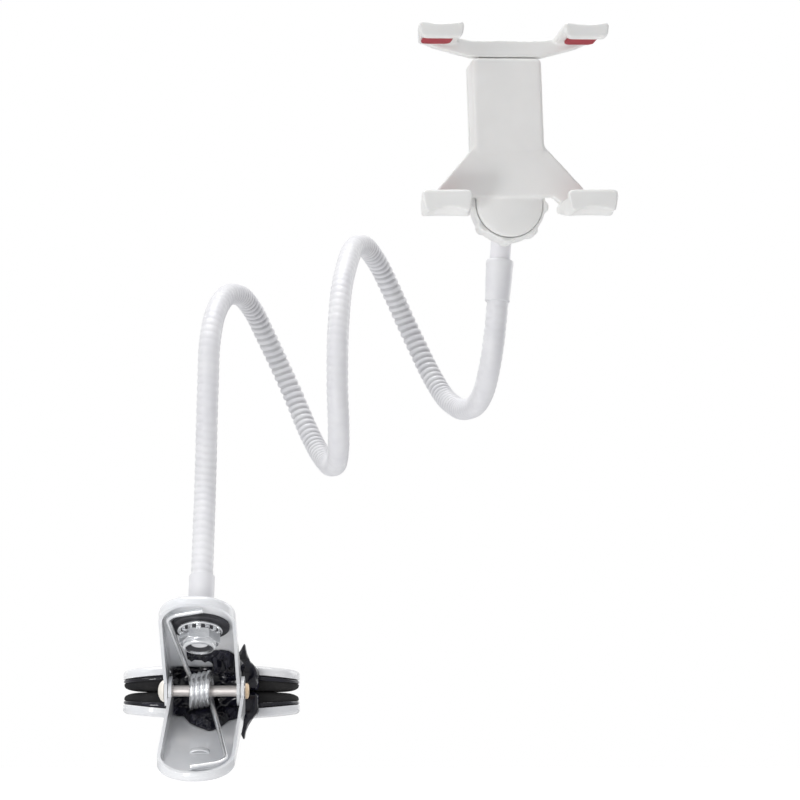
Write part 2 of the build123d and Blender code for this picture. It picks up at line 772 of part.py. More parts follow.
with BuildPart() as lower_fork:
    with BuildSketch(hub_section):
        with BuildLine():
            Polyline((0, hub_crown), (0, 0), (hub_radius, 0), (hub_radius, hub_edge))
            ThreePointArc((hub_radius, hub_edge), (crown_mid_radius, crown_mid_rise), (0, hub_crown))
        make_face()
    revolve(axis=hub_axis)
    with BuildSketch(head):
        Circle(boss_radius)
    extrude(amount=-hub_ahead - boss_behind)
    with Locations(ball_centre):
        Sphere(cavity_radius, mode=Mode.SUBTRACT)
    add(lower_plate)
    add(lower_claws)
    add(housing_shell.part)
    with BuildSketch(head.offset(pocket_front)):
        with Locations((0, (pocket_foot + housing_top + overrun) / 2)):
            Rectangle(2 * pocket_half, housing_top + overrun - pocket_foot)
    extrude(amount=housing_back - pocket_front, mode=Mode.SUBTRACT)
    with BuildSketch(head.offset(pocket_front)):
        with Locations((0, peg_y)):
            Circle(peg_radius)
    extrude(amount=housing_back - pocket_front + sliding_gap)
    with BuildSketch(head.offset(housing_back)):
        with Locations(*screw_places):
            Circle(screw_radius + running_fit)
    extrude(amount=screw_length, mode=Mode.SUBTRACT)
lower_fork.part.label = "lower_fork"
export_step(lower_fork.part, "parts/lower_fork.step")

# Upper fork: two upper claws on a forked tongue that slides in the housing
tongue_half = pocket_half - sliding_gap
tongue_front = pocket_front - sliding_gap
tongue_back = housing_back + sliding_gap
tongue_foot = pocket_foot + tongue_foot_gap
bar_foot = housing_top + sliding_gap
upper_shelf = grip_high + claw_pad_thickness
upper_root = upper_shelf + claw_root
bar_top = grip_high + bar_rise
upper_plate = fork_plate([
    (0, bar_foot), (housing_half, bar_foot), (arm_inner, grip_high - claw_corner),
    (arm_reach, upper_shelf), (arm_reach, upper_root), (arm_inner, upper_root),
    (housing_half, bar_top), (0, bar_top),
])
upper_claws = [
    claw(hand * claw_x, 1, grip_high, upper_nose, upper_claw_width, upper_scoop) for hand in (-1, 1)
]
with BuildPart() as upper_fork:
    add(upper_plate)
    add(upper_claws)
    with BuildSketch(head.offset(tongue_front)):
        with Locations((0, (tongue_foot + bar_top) / 2)):
            Rectangle(2 * tongue_half, bar_top - tongue_foot)
    extrude(amount=tongue_back - tongue_front)
    with BuildSketch(head.offset(tongue_front)):
        with Locations((0, (tongue_foot - overrun + slot_top) / 2)):
            Rectangle(tongue_slot, slot_top - tongue_foot + overrun)
    extrude(amount=tongue_back - tongue_front, mode=Mode.SUBTRACT)
upper_fork.part.label = "upper_fork"
export_step(upper_fork.part, "parts/upper_fork.step")

# Slide cover and its screws close the housing from behind
with BuildPart() as slide_cover:
    with BuildSketch(head.offset(housing_back)):
        with Locations((0, (housing_foot + housing_top) / 2)):
            RectangleRounded(2 * housing_half, housing_top - housing_foot, housing_corner)
        with Locations(*screw_places):
            Circle(screw_radius + running_fit, mode=Mode.SUBTRACT)
    extrude(amount=-cover_thickness)
slide_cover.part.label = "slide_cover"
export_step(slide_cover.part, "parts/slide_cover.step")

cover_back = housing_back - cover_thickness
with BuildPart() as cover_screws:
    with BuildSketch(head.offset(cover_back)):
        with Locations(*screw_places):
            Circle(screw_head_radius)
    extrude(amount=-screw_head_height)
    with BuildSketch(head.offset(cover_back)):
        with Locations(*screw_places):
            Circle(screw_radius)
    extrude(amount=cover_thickness + screw_length - sliding_gap)
cover_screws.part.label = "cover_screws"
export_step(cover_screws.part, "parts/cover_screws.step")

# Return spring: lies in the tongue's slot, from the peg to the slot's top
return_low = peg_y + peg_radius + sliding_gap + return_wire_radius
return_high = slot_top - sliding_gap - return_wire_radius
return_depth = (tongue_front + tongue_back) / 2
return_count = return_turns * return_steps
return_points = []
for i in range(return_count + 1):
    turn = 2 * pi * i / return_steps
    rise = return_low + (return_high - return_low) * i / return_count
    spot = Vector(
        return_coil_radius * cos(turn), rise, return_depth + return_coil_radius * sin(turn)
    )
    return_points.append(head.from_local_coords(spot))
return_tube = tube_along(
    stations_through(return_points), [return_wire_radius] * len(return_points), return_sides, (0, 0, 1)
)
with BuildPart() as return_spring:
    add(return_tube)
return_spring.part.label = "return_spring"
export_step(return_spring.part, "parts/return_spring.step")

# Claw pads: soft red strips on the faces that grip
pad_middle = (lip_inner + plate_back + plate_thickness) / 2
for row, side, grip in (("lower", -1, grip_low), ("upper", 1, grip_high)):
    for hand, x_side in (("left", -1), ("right", 1)):
        name = f"claw_pad_{row}_{hand}"
        shelf_origin = head.from_local_coords(Vector(x_side * claw_x, grip, pad_middle))
        with BuildPart() as claw_pad:
            with BuildSketch(Plane(origin=shelf_origin, x_dir=across, z_dir=head.y_dir * side)):
                RectangleRounded(claw_pad_width, claw_pad_depth, claw_corner)
            extrude(amount=claw_pad_thickness)
        claw_pad.part.label = name
        export_step(claw_pad.part, f"parts/{name}.step")
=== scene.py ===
# %% [markdown]
# # A clip-on phone holder
# The holder has three parts that a buyer would name: a sprung steel clip that bites a table edge, a
# white ribbed gooseneck that is bent into a loose spiral, and a small four-claw cradle on a ball joint.
# The measured model of it is loaded first and never moved. Everything that this lesson adds is laid
# over that model in the same metres, so a piece needs no fitting afterwards.

# %% Load the measured model
import json
from math import asin, atan, atan2, cos, exp, hypot, pi, radians, sin, sqrt, tan

import bmesh
import bpy
from mathutils import Matrix, Vector, noise
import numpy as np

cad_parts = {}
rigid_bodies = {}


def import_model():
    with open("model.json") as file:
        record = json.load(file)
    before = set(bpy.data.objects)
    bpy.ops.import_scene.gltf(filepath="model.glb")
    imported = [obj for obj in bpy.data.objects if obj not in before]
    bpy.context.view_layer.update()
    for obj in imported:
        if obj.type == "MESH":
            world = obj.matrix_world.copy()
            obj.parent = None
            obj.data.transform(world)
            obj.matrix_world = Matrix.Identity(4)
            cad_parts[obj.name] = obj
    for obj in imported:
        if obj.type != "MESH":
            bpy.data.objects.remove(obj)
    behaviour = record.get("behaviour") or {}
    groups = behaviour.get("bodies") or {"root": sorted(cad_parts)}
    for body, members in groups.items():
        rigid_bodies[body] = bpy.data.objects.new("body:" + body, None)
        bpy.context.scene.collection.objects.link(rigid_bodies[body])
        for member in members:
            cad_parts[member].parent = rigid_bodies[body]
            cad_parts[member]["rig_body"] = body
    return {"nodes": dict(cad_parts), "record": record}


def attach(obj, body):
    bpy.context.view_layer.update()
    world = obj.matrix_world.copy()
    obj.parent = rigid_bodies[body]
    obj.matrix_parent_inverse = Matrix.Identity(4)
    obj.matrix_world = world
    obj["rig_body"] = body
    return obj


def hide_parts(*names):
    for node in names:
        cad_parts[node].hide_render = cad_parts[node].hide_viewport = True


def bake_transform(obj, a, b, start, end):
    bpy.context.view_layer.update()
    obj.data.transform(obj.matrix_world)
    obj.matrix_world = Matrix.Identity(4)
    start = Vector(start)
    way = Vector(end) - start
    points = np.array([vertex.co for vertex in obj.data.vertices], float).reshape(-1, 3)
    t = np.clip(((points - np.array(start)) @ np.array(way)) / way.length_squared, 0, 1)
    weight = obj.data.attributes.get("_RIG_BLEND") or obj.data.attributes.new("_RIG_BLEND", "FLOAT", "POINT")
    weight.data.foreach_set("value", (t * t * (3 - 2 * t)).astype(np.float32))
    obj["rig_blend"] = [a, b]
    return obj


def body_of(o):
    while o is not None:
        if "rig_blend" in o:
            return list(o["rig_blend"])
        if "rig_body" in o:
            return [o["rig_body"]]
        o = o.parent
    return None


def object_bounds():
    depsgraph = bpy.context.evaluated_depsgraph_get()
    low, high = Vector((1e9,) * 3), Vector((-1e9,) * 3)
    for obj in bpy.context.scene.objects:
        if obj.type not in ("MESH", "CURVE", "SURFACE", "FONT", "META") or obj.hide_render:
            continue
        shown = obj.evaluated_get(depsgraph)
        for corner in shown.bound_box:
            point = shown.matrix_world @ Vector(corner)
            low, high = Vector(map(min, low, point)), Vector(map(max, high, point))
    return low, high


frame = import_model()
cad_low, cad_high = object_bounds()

MM = 0.001
print("model box in mm:", [round(v / MM, 1) for v in cad_low], [round(v / MM, 1) for v in cad_high])


# %% [markdown]
# ## Camera and light
# The picture was taken from a little below the clip, a good metre away, with the lens tipped a few
# degrees upwards. That is why the clip is seen edge-on and the upper claws are seen from below.
# The light is a big soft source overhead, with weaker ones to both sides and a low one in front that
# reaches into the clip. The world is white to the camera and to mirrors, but lights the object at a
# lower level, so white paint keeps its shading.

# %% Camera
CAMERA_PLACE = (73 * MM, -1070 * MM, -17 * MM)
CAMERA_TIP = 97.0
SENSOR_WIDTH = 36.0
FOCAL_PIXELS = 2740
PICTURE_PIXELS = 800

camera_data = bpy.data.cameras.new("camera")
camera_data.sensor_width = SENSOR_WIDTH
camera_data.lens = SENSOR_WIDTH * FOCAL_PIXELS / PICTURE_PIXELS
camera_data.clip_start = 0.01
camera = bpy.data.objects.new("camera", camera_data)
camera.location = CAMERA_PLACE
camera.rotation_euler = (radians(CAMERA_TIP), 0, 0)
bpy.context.scene.collection.objects.link(camera)
bpy.context.scene.camera = camera
bpy.context.scene.view_settings.view_transform = "Standard"
print("lens in mm:", round(camera_data.lens, 1))

# %% World and lamps
AMBIENT = (0.36, 0.36, 0.37, 1)
PURE_WHITE = (1, 1, 1, 1)

world = bpy.data.worlds.new("studio")
bpy.context.scene.world = world
world.use_nodes = True
sky = world.node_tree
sky.nodes.clear()
sky_out = sky.nodes.new("ShaderNodeOutputWorld")
sky_mix = sky.nodes.new("ShaderNodeMixShader")
sky_dim = sky.nodes.new("ShaderNodeBackground")
sky_dim.inputs["Color"].default_value = AMBIENT
sky_white = sky.nodes.new("ShaderNodeBackground")
sky_white.inputs["Color"].default_value = PURE_WHITE
sky_ray = sky.nodes.new("ShaderNodeLightPath")
sky_seen = sky.nodes.new("ShaderNodeMath")
sky_seen.operation = "MAXIMUM"
sky_through = sky.nodes.new("ShaderNodeMath")
sky_through.operation = "MAXIMUM"
sky.links.new(sky_ray.outputs["Is Camera Ray"], sky_seen.inputs[0])
sky.links.new(sky_ray.outputs["Is Transmission Ray"], sky_seen.inputs[1])
sky.links.new(sky_seen.outputs[0], sky_through.inputs[0])
sky.links.new(sky_ray.outputs["Is Glossy Ray"], sky_through.inputs[1])
sky.links.new(sky_through.outputs[0], sky_mix.inputs["Fac"])
sky.links.new(sky_dim.outputs[0], sky_mix.inputs[1])
sky.links.new(sky_white.outputs[0], sky_mix.inputs[2])
sky.links.new(sky_mix.outputs[0], sky_out.inputs["Surface"])


def soft_lamp(name, place, aim, size, power):
    """A square soft box at a place, turned to face a point."""
    data = bpy.data.lights.new(name, "AREA")
    data.shape = "SQUARE"
    data.size = size
    data.energy = power
    lamp = bpy.data.objects.new(name, data)
    lamp.location = place
    lamp.rotation_euler = (Vector(aim) - Vector(place)).to_track_quat("-Z", "Y").to_euler()
    bpy.context.scene.collection.objects.link(lamp)
    return lamp


STAGE_MIDDLE = (0.07, -0.03, 0.10)
soft_lamp("overhead", (-0.08, -0.05, 1.15), STAGE_MIDDLE, 0.8, 9.5)
soft_lamp("left_front", (-0.75, -0.95, 0.45), STAGE_MIDDLE, 0.6, 2.5)
soft_lamp("right_back", (0.85, 0.55, 0.35), STAGE_MIDDLE, 0.6, 2.0)
soft_lamp("clip_fill", (-0.14, -0.5, -0.05), (0, -0.06, 0.01), 0.1, 0.6)
print("lamps:", ", ".join(lamp.name for lamp in bpy.data.lights))


# %% [markdown]
# ## Finishes
# Each finish is a small node tree that reads the piece's own place in space, so its grain keeps its
# size on every piece. One helper makes the shader, another adds fine relief from a noise, and each
# finish then says only what is special about it.

# %% Helpers for finishes
def new_finish(name, colour, roughness, metallic=0.0, coat=0.0):
    """A principled finish with its node tree, its shader and its coordinates."""
    finish = bpy.data.materials.new(name)
    finish.use_nodes = True
    tree = finish.node_tree
    shader = tree.nodes["Principled BSDF"]
    shader.inputs["Base Color"].default_value = (*colour, 1)
    shader.inputs["Roughness"].default_value = roughness
    shader.inputs["Metallic"].default_value = metallic
    shader.inputs["Coat Weight"].default_value = coat
    place = tree.nodes.new("ShaderNodeTexCoord").outputs["Object"]
    return finish, tree, shader, place


def grain(tree, place, scale, detail=2.0):
    """Noise of a given scale, in cells to the metre."""
    cloud = tree.nodes.new("ShaderNodeTexNoise")
    cloud.inputs["Scale"].default_value = scale
    cloud.inputs["Detail"].default_value = detail
    tree.links.new(place, cloud.inputs["Vector"])
    return cloud.outputs["Fac"]


def relief(tree, shader, height, strength, distance):
    """Fine relief on a shader, from a height."""
    bump = tree.nodes.new("ShaderNodeBump")
    bump.inputs["Strength"].default_value = strength
    bump.inputs["Distance"].default_value = distance
    tree.links.new(height, bump.inputs["Height"])
    tree.links.new(bump.outputs["Normal"], shader.inputs["Normal"])


def spread(tree, value, low, high, socket):
    """Runs a value from low to high into a socket, as roughness does."""
    steps = tree.nodes.new("ShaderNodeMapRange")
    steps.inputs["To Min"].default_value = low
    steps.inputs["To Max"].default_value = high
    tree.links.new(value, steps.inputs["Value"])
    tree.links.new(steps.outputs["Result"], socket)


def tint(tree, value, first, second, socket, low=0.35, high=0.65):
    """Mixes two colours by a value into a socket."""
    ramp = tree.nodes.new("ShaderNodeValToRGB")
    ramp.color_ramp.elements[0].position = low
    ramp.color_ramp.elements[0].color = (*first, 1)
    ramp.color_ramp.elements[1].position = high
    ramp.color_ramp.elements[1].color = (*second, 1)
    tree.links.new(value, ramp.inputs["Fac"])
    tree.links.new(ramp.outputs["Color"], socket)


# %% White enamel of the clip
def white_enamel():
    """Gloss stove enamel: faint orange peel and cloudy gloss."""
    finish, tree, shader, place = new_finish("white_enamel", (0.78, 0.79, 0.81), 0.2, coat=0.35)
    shader.inputs["Coat Roughness"].default_value = 0.06
    clouds = grain(tree, place, 60, 3)
    tint(tree, clouds, (0.76, 0.775, 0.80), (0.81, 0.815, 0.825), shader.inputs["Base Color"])
    spread(tree, grain(tree, place, 240, 3), 0.14, 0.26, shader.inputs["Roughness"])
    relief(tree, shader, grain(tree, place, 900, 1), 0.12, 0.05 * MM)
    return finish


# %% Zinc, steel and brass
def bright_metal(name, first, second, low, high, scale, metallic):
    """Plated metal with a satin bloom, whose colour and gloss cloud a little over its surface."""
    finish, tree, shader, place = new_finish(name, first, low, metallic=metallic)
    clouds = grain(tree, place, scale, 3)
    tint(tree, clouds, first, second, shader.inputs["Base Color"])
    spread(tree, grain(tree, place, scale / 2, 2), low, high, shader.inputs["Roughness"])
    relief(tree, shader, grain(tree, place, scale * 2, 1), 0.02, 0.01 * MM)
    return finish


NICKEL = (0.86, 0.82, 0.75)
BARE_STEEL = (0.86, 0.81, 0.78)
RIVET_STOPS = (
    (0.0, NICKEL), (0.062, NICKEL), (0.066, BARE_STEEL),
    (0.936, BARE_STEEL), (0.94, (0.66, 0.49, 0.32)), (1.0, (0.72, 0.56, 0.38)),
)


def rivet_steel():
    """Satin steel of the rivet: a nickelled head, a bare rod and a brassy hammered end."""
    finish, tree, shader, place = new_finish("rivet_steel", BARE_STEEL, 0.36, metallic=0.35)
    apart = tree.nodes.new("ShaderNodeSeparateXYZ")
    tree.links.new(place, apart.inputs["Vector"])
    along = tree.nodes.new("ShaderNodeMapRange")
    along.inputs["From Min"].default_value = -18 * MM
    along.inputs["From Max"].default_value = 17 * MM
    tree.links.new(apart.outputs["X"], along.inputs["Value"])
    ramp = tree.nodes.new("ShaderNodeValToRGB")
    stops = ramp.color_ramp.elements
    while len(stops) < len(RIVET_STOPS):
        stops.new(0.5)
    for stop, (position, colour) in zip(stops, RIVET_STOPS):
        stop.position = position
        stop.color = (*colour, 1)
    tree.links.new(along.outputs["Result"], ramp.inputs["Fac"])
    tree.links.new(ramp.outputs["Color"], shader.inputs["Base Color"])
    spread(tree, grain(tree, place, 500, 4), 0.28, 0.46, shader.inputs["Roughness"])
    relief(tree, shader, grain(tree, place, 900, 2), 0.15, 0.03 * MM)
    return finish


# %% Foam, vinyl and rubber
def black_foam():
    """Closed-cell foam: matte charcoal with a skin of tiny open cells."""
    finish, tree, shader, place = new_finish("black_foam", (0.016, 0.016, 0.017), 0.92)
    shader.inputs["Specular IOR Level"].default_value = 0.25
    cells = tree.nodes.new("ShaderNodeTexVoronoi")
    cells.inputs["Scale"].default_value = 1700
    tree.links.new(place, cells.inputs["Vector"])
    colour = shader.inputs["Base Color"]
    tint(tree, grain(tree, place, 90, 3), (0.012, 0.012, 0.013), (0.026, 0.025, 0.025), colour)
    relief(tree, shader, cells.outputs["Distance"], 0.5, 0.2 * MM)
    return finish


def black_vinyl():
    """Soft shiny vinyl film, drawn into fine creases."""
    finish, tree, shader, place = new_finish("black_vinyl", (0.008, 0.008, 0.014), 0.2)
    shader.inputs["Specular IOR Level"].default_value = 0.32
    spread(tree, grain(tree, place, 200, 2), 0.05, 0.18, shader.inputs["Roughness"])
    colour = shader.inputs["Base Color"]
    tint(tree, grain(tree, place, 120, 2), (0.005, 0.005, 0.008), (0.012, 0.012, 0.022), colour)
    relief(tree, shader, grain(tree, place, 300, 2), 0.45, 0.4 * MM)
    return finish


def black_rubber():
    """Plain moulded rubber with a dull bloom."""
    finish, tree, shader, place = new_finish("black_rubber", (0.02, 0.02, 0.023), 0.55)
    colour = shader.inputs["Base Color"]
    tint(tree, grain(tree, place, 200, 3), (0.014, 0.014, 0.017), (0.035, 0.035, 0.042), colour)
    relief(tree, shader, grain(tree, place, 1200, 2), 0.2, 0.05 * MM)
    return finish


# %% White plastics and the red grips
def white_skin():
    """Satin skin of the gooseneck: a cool white with a fine drawn grain, with painted shade that darkens it
    inside its grooves.
    """
    finish, tree, shader, place = new_finish("white_skin", (0.75, 0.75, 0.77), 0.36)
    # Painted shade: an ambient-occlusion node darkens the skin's colour in its grooves.
    groove_shade = tree.nodes.new("ShaderNodeAmbientOcclusion")
    groove_shade.only_local = True
    groove_shade.inputs["Distance"].default_value = 1.5 * MM
    tint(tree, grain(tree, place, 110, 3), (0.72, 0.72, 0.745), (0.775, 0.775, 0.79), groove_shade.inputs["Color"])
    tree.links.new(groove_shade.outputs["Color"], shader.inputs["Base Color"])
    spread(tree, grain(tree, place, 500, 3), 0.28, 0.46, shader.inputs["Roughness"])
    relief(tree, shader, grain(tree, place, 1500, 2), 0.12, 0.04 * MM)
    return finish


def moulded_plastic(name, first, second):
    """Satin moulded plastic with a spark-eroded grain, clouded between two whites."""
    finish, tree, shader, place = new_finish(name, first, 0.38)
    shader.inputs["Subsurface Weight"].default_value = 0.08
    shader.inputs["Subsurface Radius"].default_value = (1.2 * MM, 1.0 * MM, 0.8 * MM)
    tint(tree, grain(tree, place, 70, 2), first, second, shader.inputs["Base Color"])
    spread(tree, grain(tree, place, 700, 2), 0.32, 0.44, shader.inputs["Roughness"])
    relief(tree, shader, grain(tree, place, 2600, 2), 0.1, 0.03 * MM)
    return finish


def red_rubber():
    """Soft crimson rubber of the grips."""
    finish, tree, shader, place = new_finish("red_rubber", (0.36, 0.015, 0.03), 0.5)
    shader.inputs["Specular IOR Level"].default_value = 0.25
    colour = shader.inputs["Base Color"]
    tint(tree, grain(tree, place, 300, 2), (0.32, 0.012, 0.026), (0.40, 0.02, 0.036), colour)
    relief(tree, shader, grain(tree, place, 2000, 2), 0.15, 0.04 * MM)
    return finish


FINISHES = {
    "white_paint": white_enamel(),
    "zinc_wire": bright_metal(
        "zinc_wire", (0.78, 0.79, 0.81), (0.86, 0.87, 0.88), low=0.2, high=0.28, scale=120, metallic=0.75
    ),
    "rod_steel": rivet_steel(),
    "bright_zinc": bright_metal(
        "bright_zinc", (0.70, 0.71, 0.73), (0.78, 0.79, 0.80), low=0.18, high=0.3, scale=200, metallic=0.95
    ),
    "black_foam": black_foam(),
    "black_vinyl": black_vinyl(),
    "black_rubber": black_rubber(),
    "white_skin": white_skin(),
    "white_plastic": moulded_plastic("warm_plastic", (0.825, 0.825, 0.81), (0.855, 0.855, 0.84)),
    "red_pad": red_rubber(),
}
print("finishes:", ", ".join(FINISHES))

# %% Every piece of the model takes the finish of its slot
slot_of = {part["node"]: part["material_slot"] for part in frame["record"]["subparts"]}
for node, piece in frame["nodes"].items():
    piece.data.materials.clear()
    piece.data.materials.append(FINISHES[slot_of[node]])
print("dressed nodes:", len(slot_of))


# %% [markdown]
# ## Small tools for modelling
# A swept piece starts as one ring of vertices. The ring is extruded along the way and each new ring
# is set in its plane, which is how a wire is drawn or a hose is wound. The same few lines make the
# gooseneck, the spring and the beads.

# %% Helpers for meshes
def keep_piece(name, bm, slot, body=None, stands_for=(), finish=None):
    """Turns a bmesh into a named piece with a finish, on a body, in place of measured nodes."""
    bmesh.ops.recalc_face_normals(bm, faces=bm.faces)
    mesh = bpy.data.meshes.new(name)
    bm.to_mesh(mesh)
    bm.free()
    for polygon in mesh.polygons:
        polygon.use_smooth = True
    mesh.materials.append(finish or FINISHES[slot])
    piece = bpy.data.objects.new(name, mesh)
    bpy.context.scene.collection.objects.link(piece)
    if body:
        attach(piece, body)
    if stands_for:
        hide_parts(*stands_for)
    print(name, "faces:", len(mesh.polygons))
    return piece


def carried_frames(points, first_across):
    """For each point its direction and two directions across it, carried along without twist."""
    runs = [(b - a).normalized() for a, b in zip(points, points[1:])]
    ahead = [runs[0]] + [(a + b).normalized() for a, b in zip(runs, runs[1:])] + [runs[-1]]
    across = Vector(first_across)
    frames = []
    for point, direction in zip(points, ahead):
        across = (across - direction * across.dot(direction)).normalized()
        frames.append((point, direction, across, direction.cross(across)))
    return frames


def sweep_ring(bm, frames, sides, radius_at):
    """Extrudes one ring of vertices through the frames; radius_at gives each vertex its reach."""
    ring = bmesh.ops.create_circle(bm, segments=sides, radius=1.0, cap_ends=True)["verts"]
    loop = [e for e in bm.edges if len(e.link_faces) == 1 or e.is_boundary or e.is_wire]
    order = sorted(ring, key=lambda v: atan2(v.co.y, v.co.x))
    turns = [atan2(v.co.y, v.co.x) for v in order]
    for number, (point, _, across, beside) in enumerate(frames):
        if number:
            made = bmesh.ops.extrude_edge_only(bm, edges=loop)["geom"]
            nearest = {g for g in made if isinstance(g, bmesh.types.BMVert)}
            order = [
                next(e.other_vert(v) for e in v.link_edges if e.other_vert(v) in nearest) for v in order
            ]
            loop = [g for g in made if isinstance(g, bmesh.types.BMEdge) and g.is_boundary]
        for vert, turn in zip(order, turns):
            out = across * cos(turn) + beside * sin(turn)
            vert.co = point + out * radius_at(number, turn, out)
    bmesh.ops.contextual_create(bm, geom=loop)


def along_spline(name, points, resolution):
    """Points along a smooth spline that passes through the given ones."""
    data = bpy.data.curves.new(name, "CURVE")
    data.dimensions = "3D"
    data.resolution_u = resolution
    spline = data.splines.new("BEZIER")
    spline.bezier_points.add(len(points) - 1)
    for knot, point in zip(spline.bezier_points, points):
        knot.co = point
        knot.handle_left_type = "AUTO"
        knot.handle_right_type = "AUTO"
    guide = bpy.data.objects.new(name, data)
    mesh = bpy.data.meshes.new_from_object(guide)
    line = [v.co.copy() for v in mesh.vertices]
    bpy.data.meshes.remove(mesh)
    bpy.data.objects.remove(guide)
    bpy.data.curves.remove(data)
    return line


def evenly(line, count):
    """Points at equal steps along a line of points, with the line's length."""
    reach = [0.0]
    for a, b in zip(line, line[1:]):
        reach.append(reach[-1] + (b - a).length)
    places = []
    index = 0
    for step in range(count + 1):
        goal = reach[-1] * step / count
        while index < len(line) - 2 and reach[index + 1] < goal:
            index += 1
        share = (goal - reach[index]) / (reach[index + 1] - reach[index])
        places.append(line[index].lerp(line[index + 1], share))
    return places, reach[-1]


# %% Sizes of the clip that several pieces share
JAW_RISE = 10.4 * MM
SHEET = 1.2 * MM
PIVOT_Y = -32 * MM
BEND_Y = -29 * MM
TIP_Y = -90 * MM
BASE_Y = -66 * MM
HANDLE_SLOPE = atan((33.9 - 10.4) / 61)


def plate_height(y):
    """Height of a handle's outer face above the grip plane."""
    return JAW_RISE + max(0.0, BEND_Y - y) * tan(HANDLE_SLOPE)


# %% [markdown]
# ## Gooseneck
# The gooseneck is a steel core wound with strip and drawn into a thin white skin. The skin lies almost
# smooth over the outside of a bend, and on the inside it is pushed together into plump ribs. So the
# ribs follow one long screw line, and their depth follows the bend: the hollow side gets deep grooves.

# %% Gooseneck skin
NECK_ROUTE = [
    (0, -51.5, 62.4), (0, -46, 78.6), (0.5, -44, 113.8), (1.1, -40, 134.1), (3.7, -27, 148.5),
    (8.4, -9, 155), (13.8, 10, 152.5), (19.1, 20, 142.7), (28.3, 26, 123.2), (37.2, 19, 102.5),
    (43, 4, 91.5), (46.9, -14, 87), (49.4, -34, 89), (49.9, -46, 99.2), (49.5, -50, 113.7),
    (49.9, -47, 138.9), (51.9, -34, 159.4), (57.2, -8, 174.7), (63.4, 12, 172.2), (68.6, 21, 163.4),
    (77.8, 26, 143.9), (88, 17, 122.1), (94, 0, 112.4), (99.3, -18, 108.7), (103.8, -36, 111),
    (106.5, -48, 119.8),
]
NECK_RADIUS = 4.12 * MM
RIB_PITCH = 2.85 * MM
RINGS_PER_RIB = 8
NECK_SIDES = 28
GROOVE_OUTSIDE = 0.13 * MM
GROOVE_INSIDE = 0.85 * MM
TIGHT_BEND = 32 * MM
LOOP_FRONT, LOOP_BACK = -40 * MM, -5 * MM

base_up = Vector((0, sin(HANDLE_SLOPE), cos(HANDLE_SLOPE)))
neck_foot = Vector((0, BASE_Y, plate_height(BASE_Y)))
stem_up = Vector((sin(radians(4)), 0, cos(radians(4))))
stem_elbow = Vector((111.8, -52, 177.6)) * MM
neck_knots = [neck_foot + base_up * 4.1 * MM, neck_foot + base_up * 26.3 * MM]
neck_knots += [Vector(p) * MM for p in NECK_ROUTE]
neck_knots += [stem_elbow - stem_up * 40.9 * MM, stem_elbow - stem_up * 22.1 * MM]
neck_line = along_spline("neck_route", neck_knots, 40)
rib_count = round(evenly(neck_line, 1)[1] / RIB_PITCH)
neck_points, neck_length = evenly(neck_line, rib_count * RINGS_PER_RIB)
neck_frames = carried_frames(neck_points, (1, 0, 0))
WINDOW = 3 * RINGS_PER_RIB


def bend_at(number):
    """How the gooseneck bends at a ring: a vector towards the hollow side, in turns to the metre."""
    first = max(0, number - WINDOW)
    last = min(len(neck_frames) - 1, number + WINDOW)
    reach = (last - first) * neck_length / (len(neck_frames) - 1)
    return (neck_frames[last][1] - neck_frames[first][1]) / reach


neck_bends = [bend_at(number) for number in range(len(neck_frames))]


def skin_reach(number, turn, out):
    """Radius of the skin: a screw line of grooves, deep on the hollow side and at the back of a loop."""
    phase = number / RINGS_PER_RIB + turn / (2 * pi)
    behind = min(1.0, max(0.0, (neck_points[number].y - LOOP_FRONT) / (LOOP_BACK - LOOP_FRONT)))
    hollow = min(1.0, max(0.0, 0.3 + 0.5 * behind + 0.5 * out.dot(neck_bends[number]) * TIGHT_BEND))
    depth = GROOVE_OUTSIDE + (GROOVE_INSIDE - GROOVE_OUTSIDE) * hollow * hollow
    groove = (0.5 + 0.5 * cos(2 * pi * phase)) ** 2
    return NECK_RADIUS - depth * groove


neck_mesh = bmesh.new()
sweep_ring(neck_mesh, neck_frames, NECK_SIDES, skin_reach)
keep_piece("gooseneck_skin", neck_mesh, "white_skin", "upper_clip", ["gooseneck"])
print("gooseneck length in mm:", round(neck_length / MM, 1), "ribs:", rib_count)


# %% [markdown]
# ## Pressed, turned and moulded pieces
# Real edges are never quite sharp: a sheared sheet has a burr that paint rounds over, and a moulding
# has a radius in every corner. The measured solids leave most of these out. So a copy of each hard
# piece gets its flat runs joined to single faces, and the edges that are still sharp get a small
# round. The round is what catches the light along an edge.

# %% Rounded copies of the measured pieces
def merged_copy(node):
    """A measured node in a bmesh, its loose triangles joined and its flat runs made single faces."""
    bm = bmesh.new()
    bm.from_mesh(frame["nodes"][node].data)
    bmesh.ops.remove_doubles(bm, verts=bm.verts, dist=0.001 * MM)
    bmesh.ops.dissolve_limit(bm, angle_limit=radians(0.5), verts=bm.verts, edges=bm.edges)
    return bm


def round_edges(bm, width, sharper_than):
    """Rounds every edge that turns by more than an angle in degrees."""
    joined = [e for e in bm.edges if len(e.link_faces) == 2]
    bmesh.ops.bevel(
        bm, geom=[e for e in joined if e.calc_face_angle() > radians(sharper_than)], offset=width,
        segments=3, profile=0.5, affect="EDGES", material=-1, clamp_overlap=True,
    )


def stand_for(node, name, bm):
    """Keeps a bmesh as the piece that stands for a measured node, on the node's own body."""
    return keep_piece(name, bm, slot_of[node], body_of(frame["nodes"][node])[0], [node])


SHARP_TURN = 35


def rounded_piece(node, name, width, reshape=None):
    """A rounded copy of a node, moved a little by reshape where one is given."""
    bm = merged_copy(node)
    round_edges(bm, width, SHARP_TURN)
    if reshape:
        reshape(bm)
    even = stand_for(node, name, bm).modifiers.new("even_shading", "WEIGHTED_NORMAL")
    even.keep_sharp = True


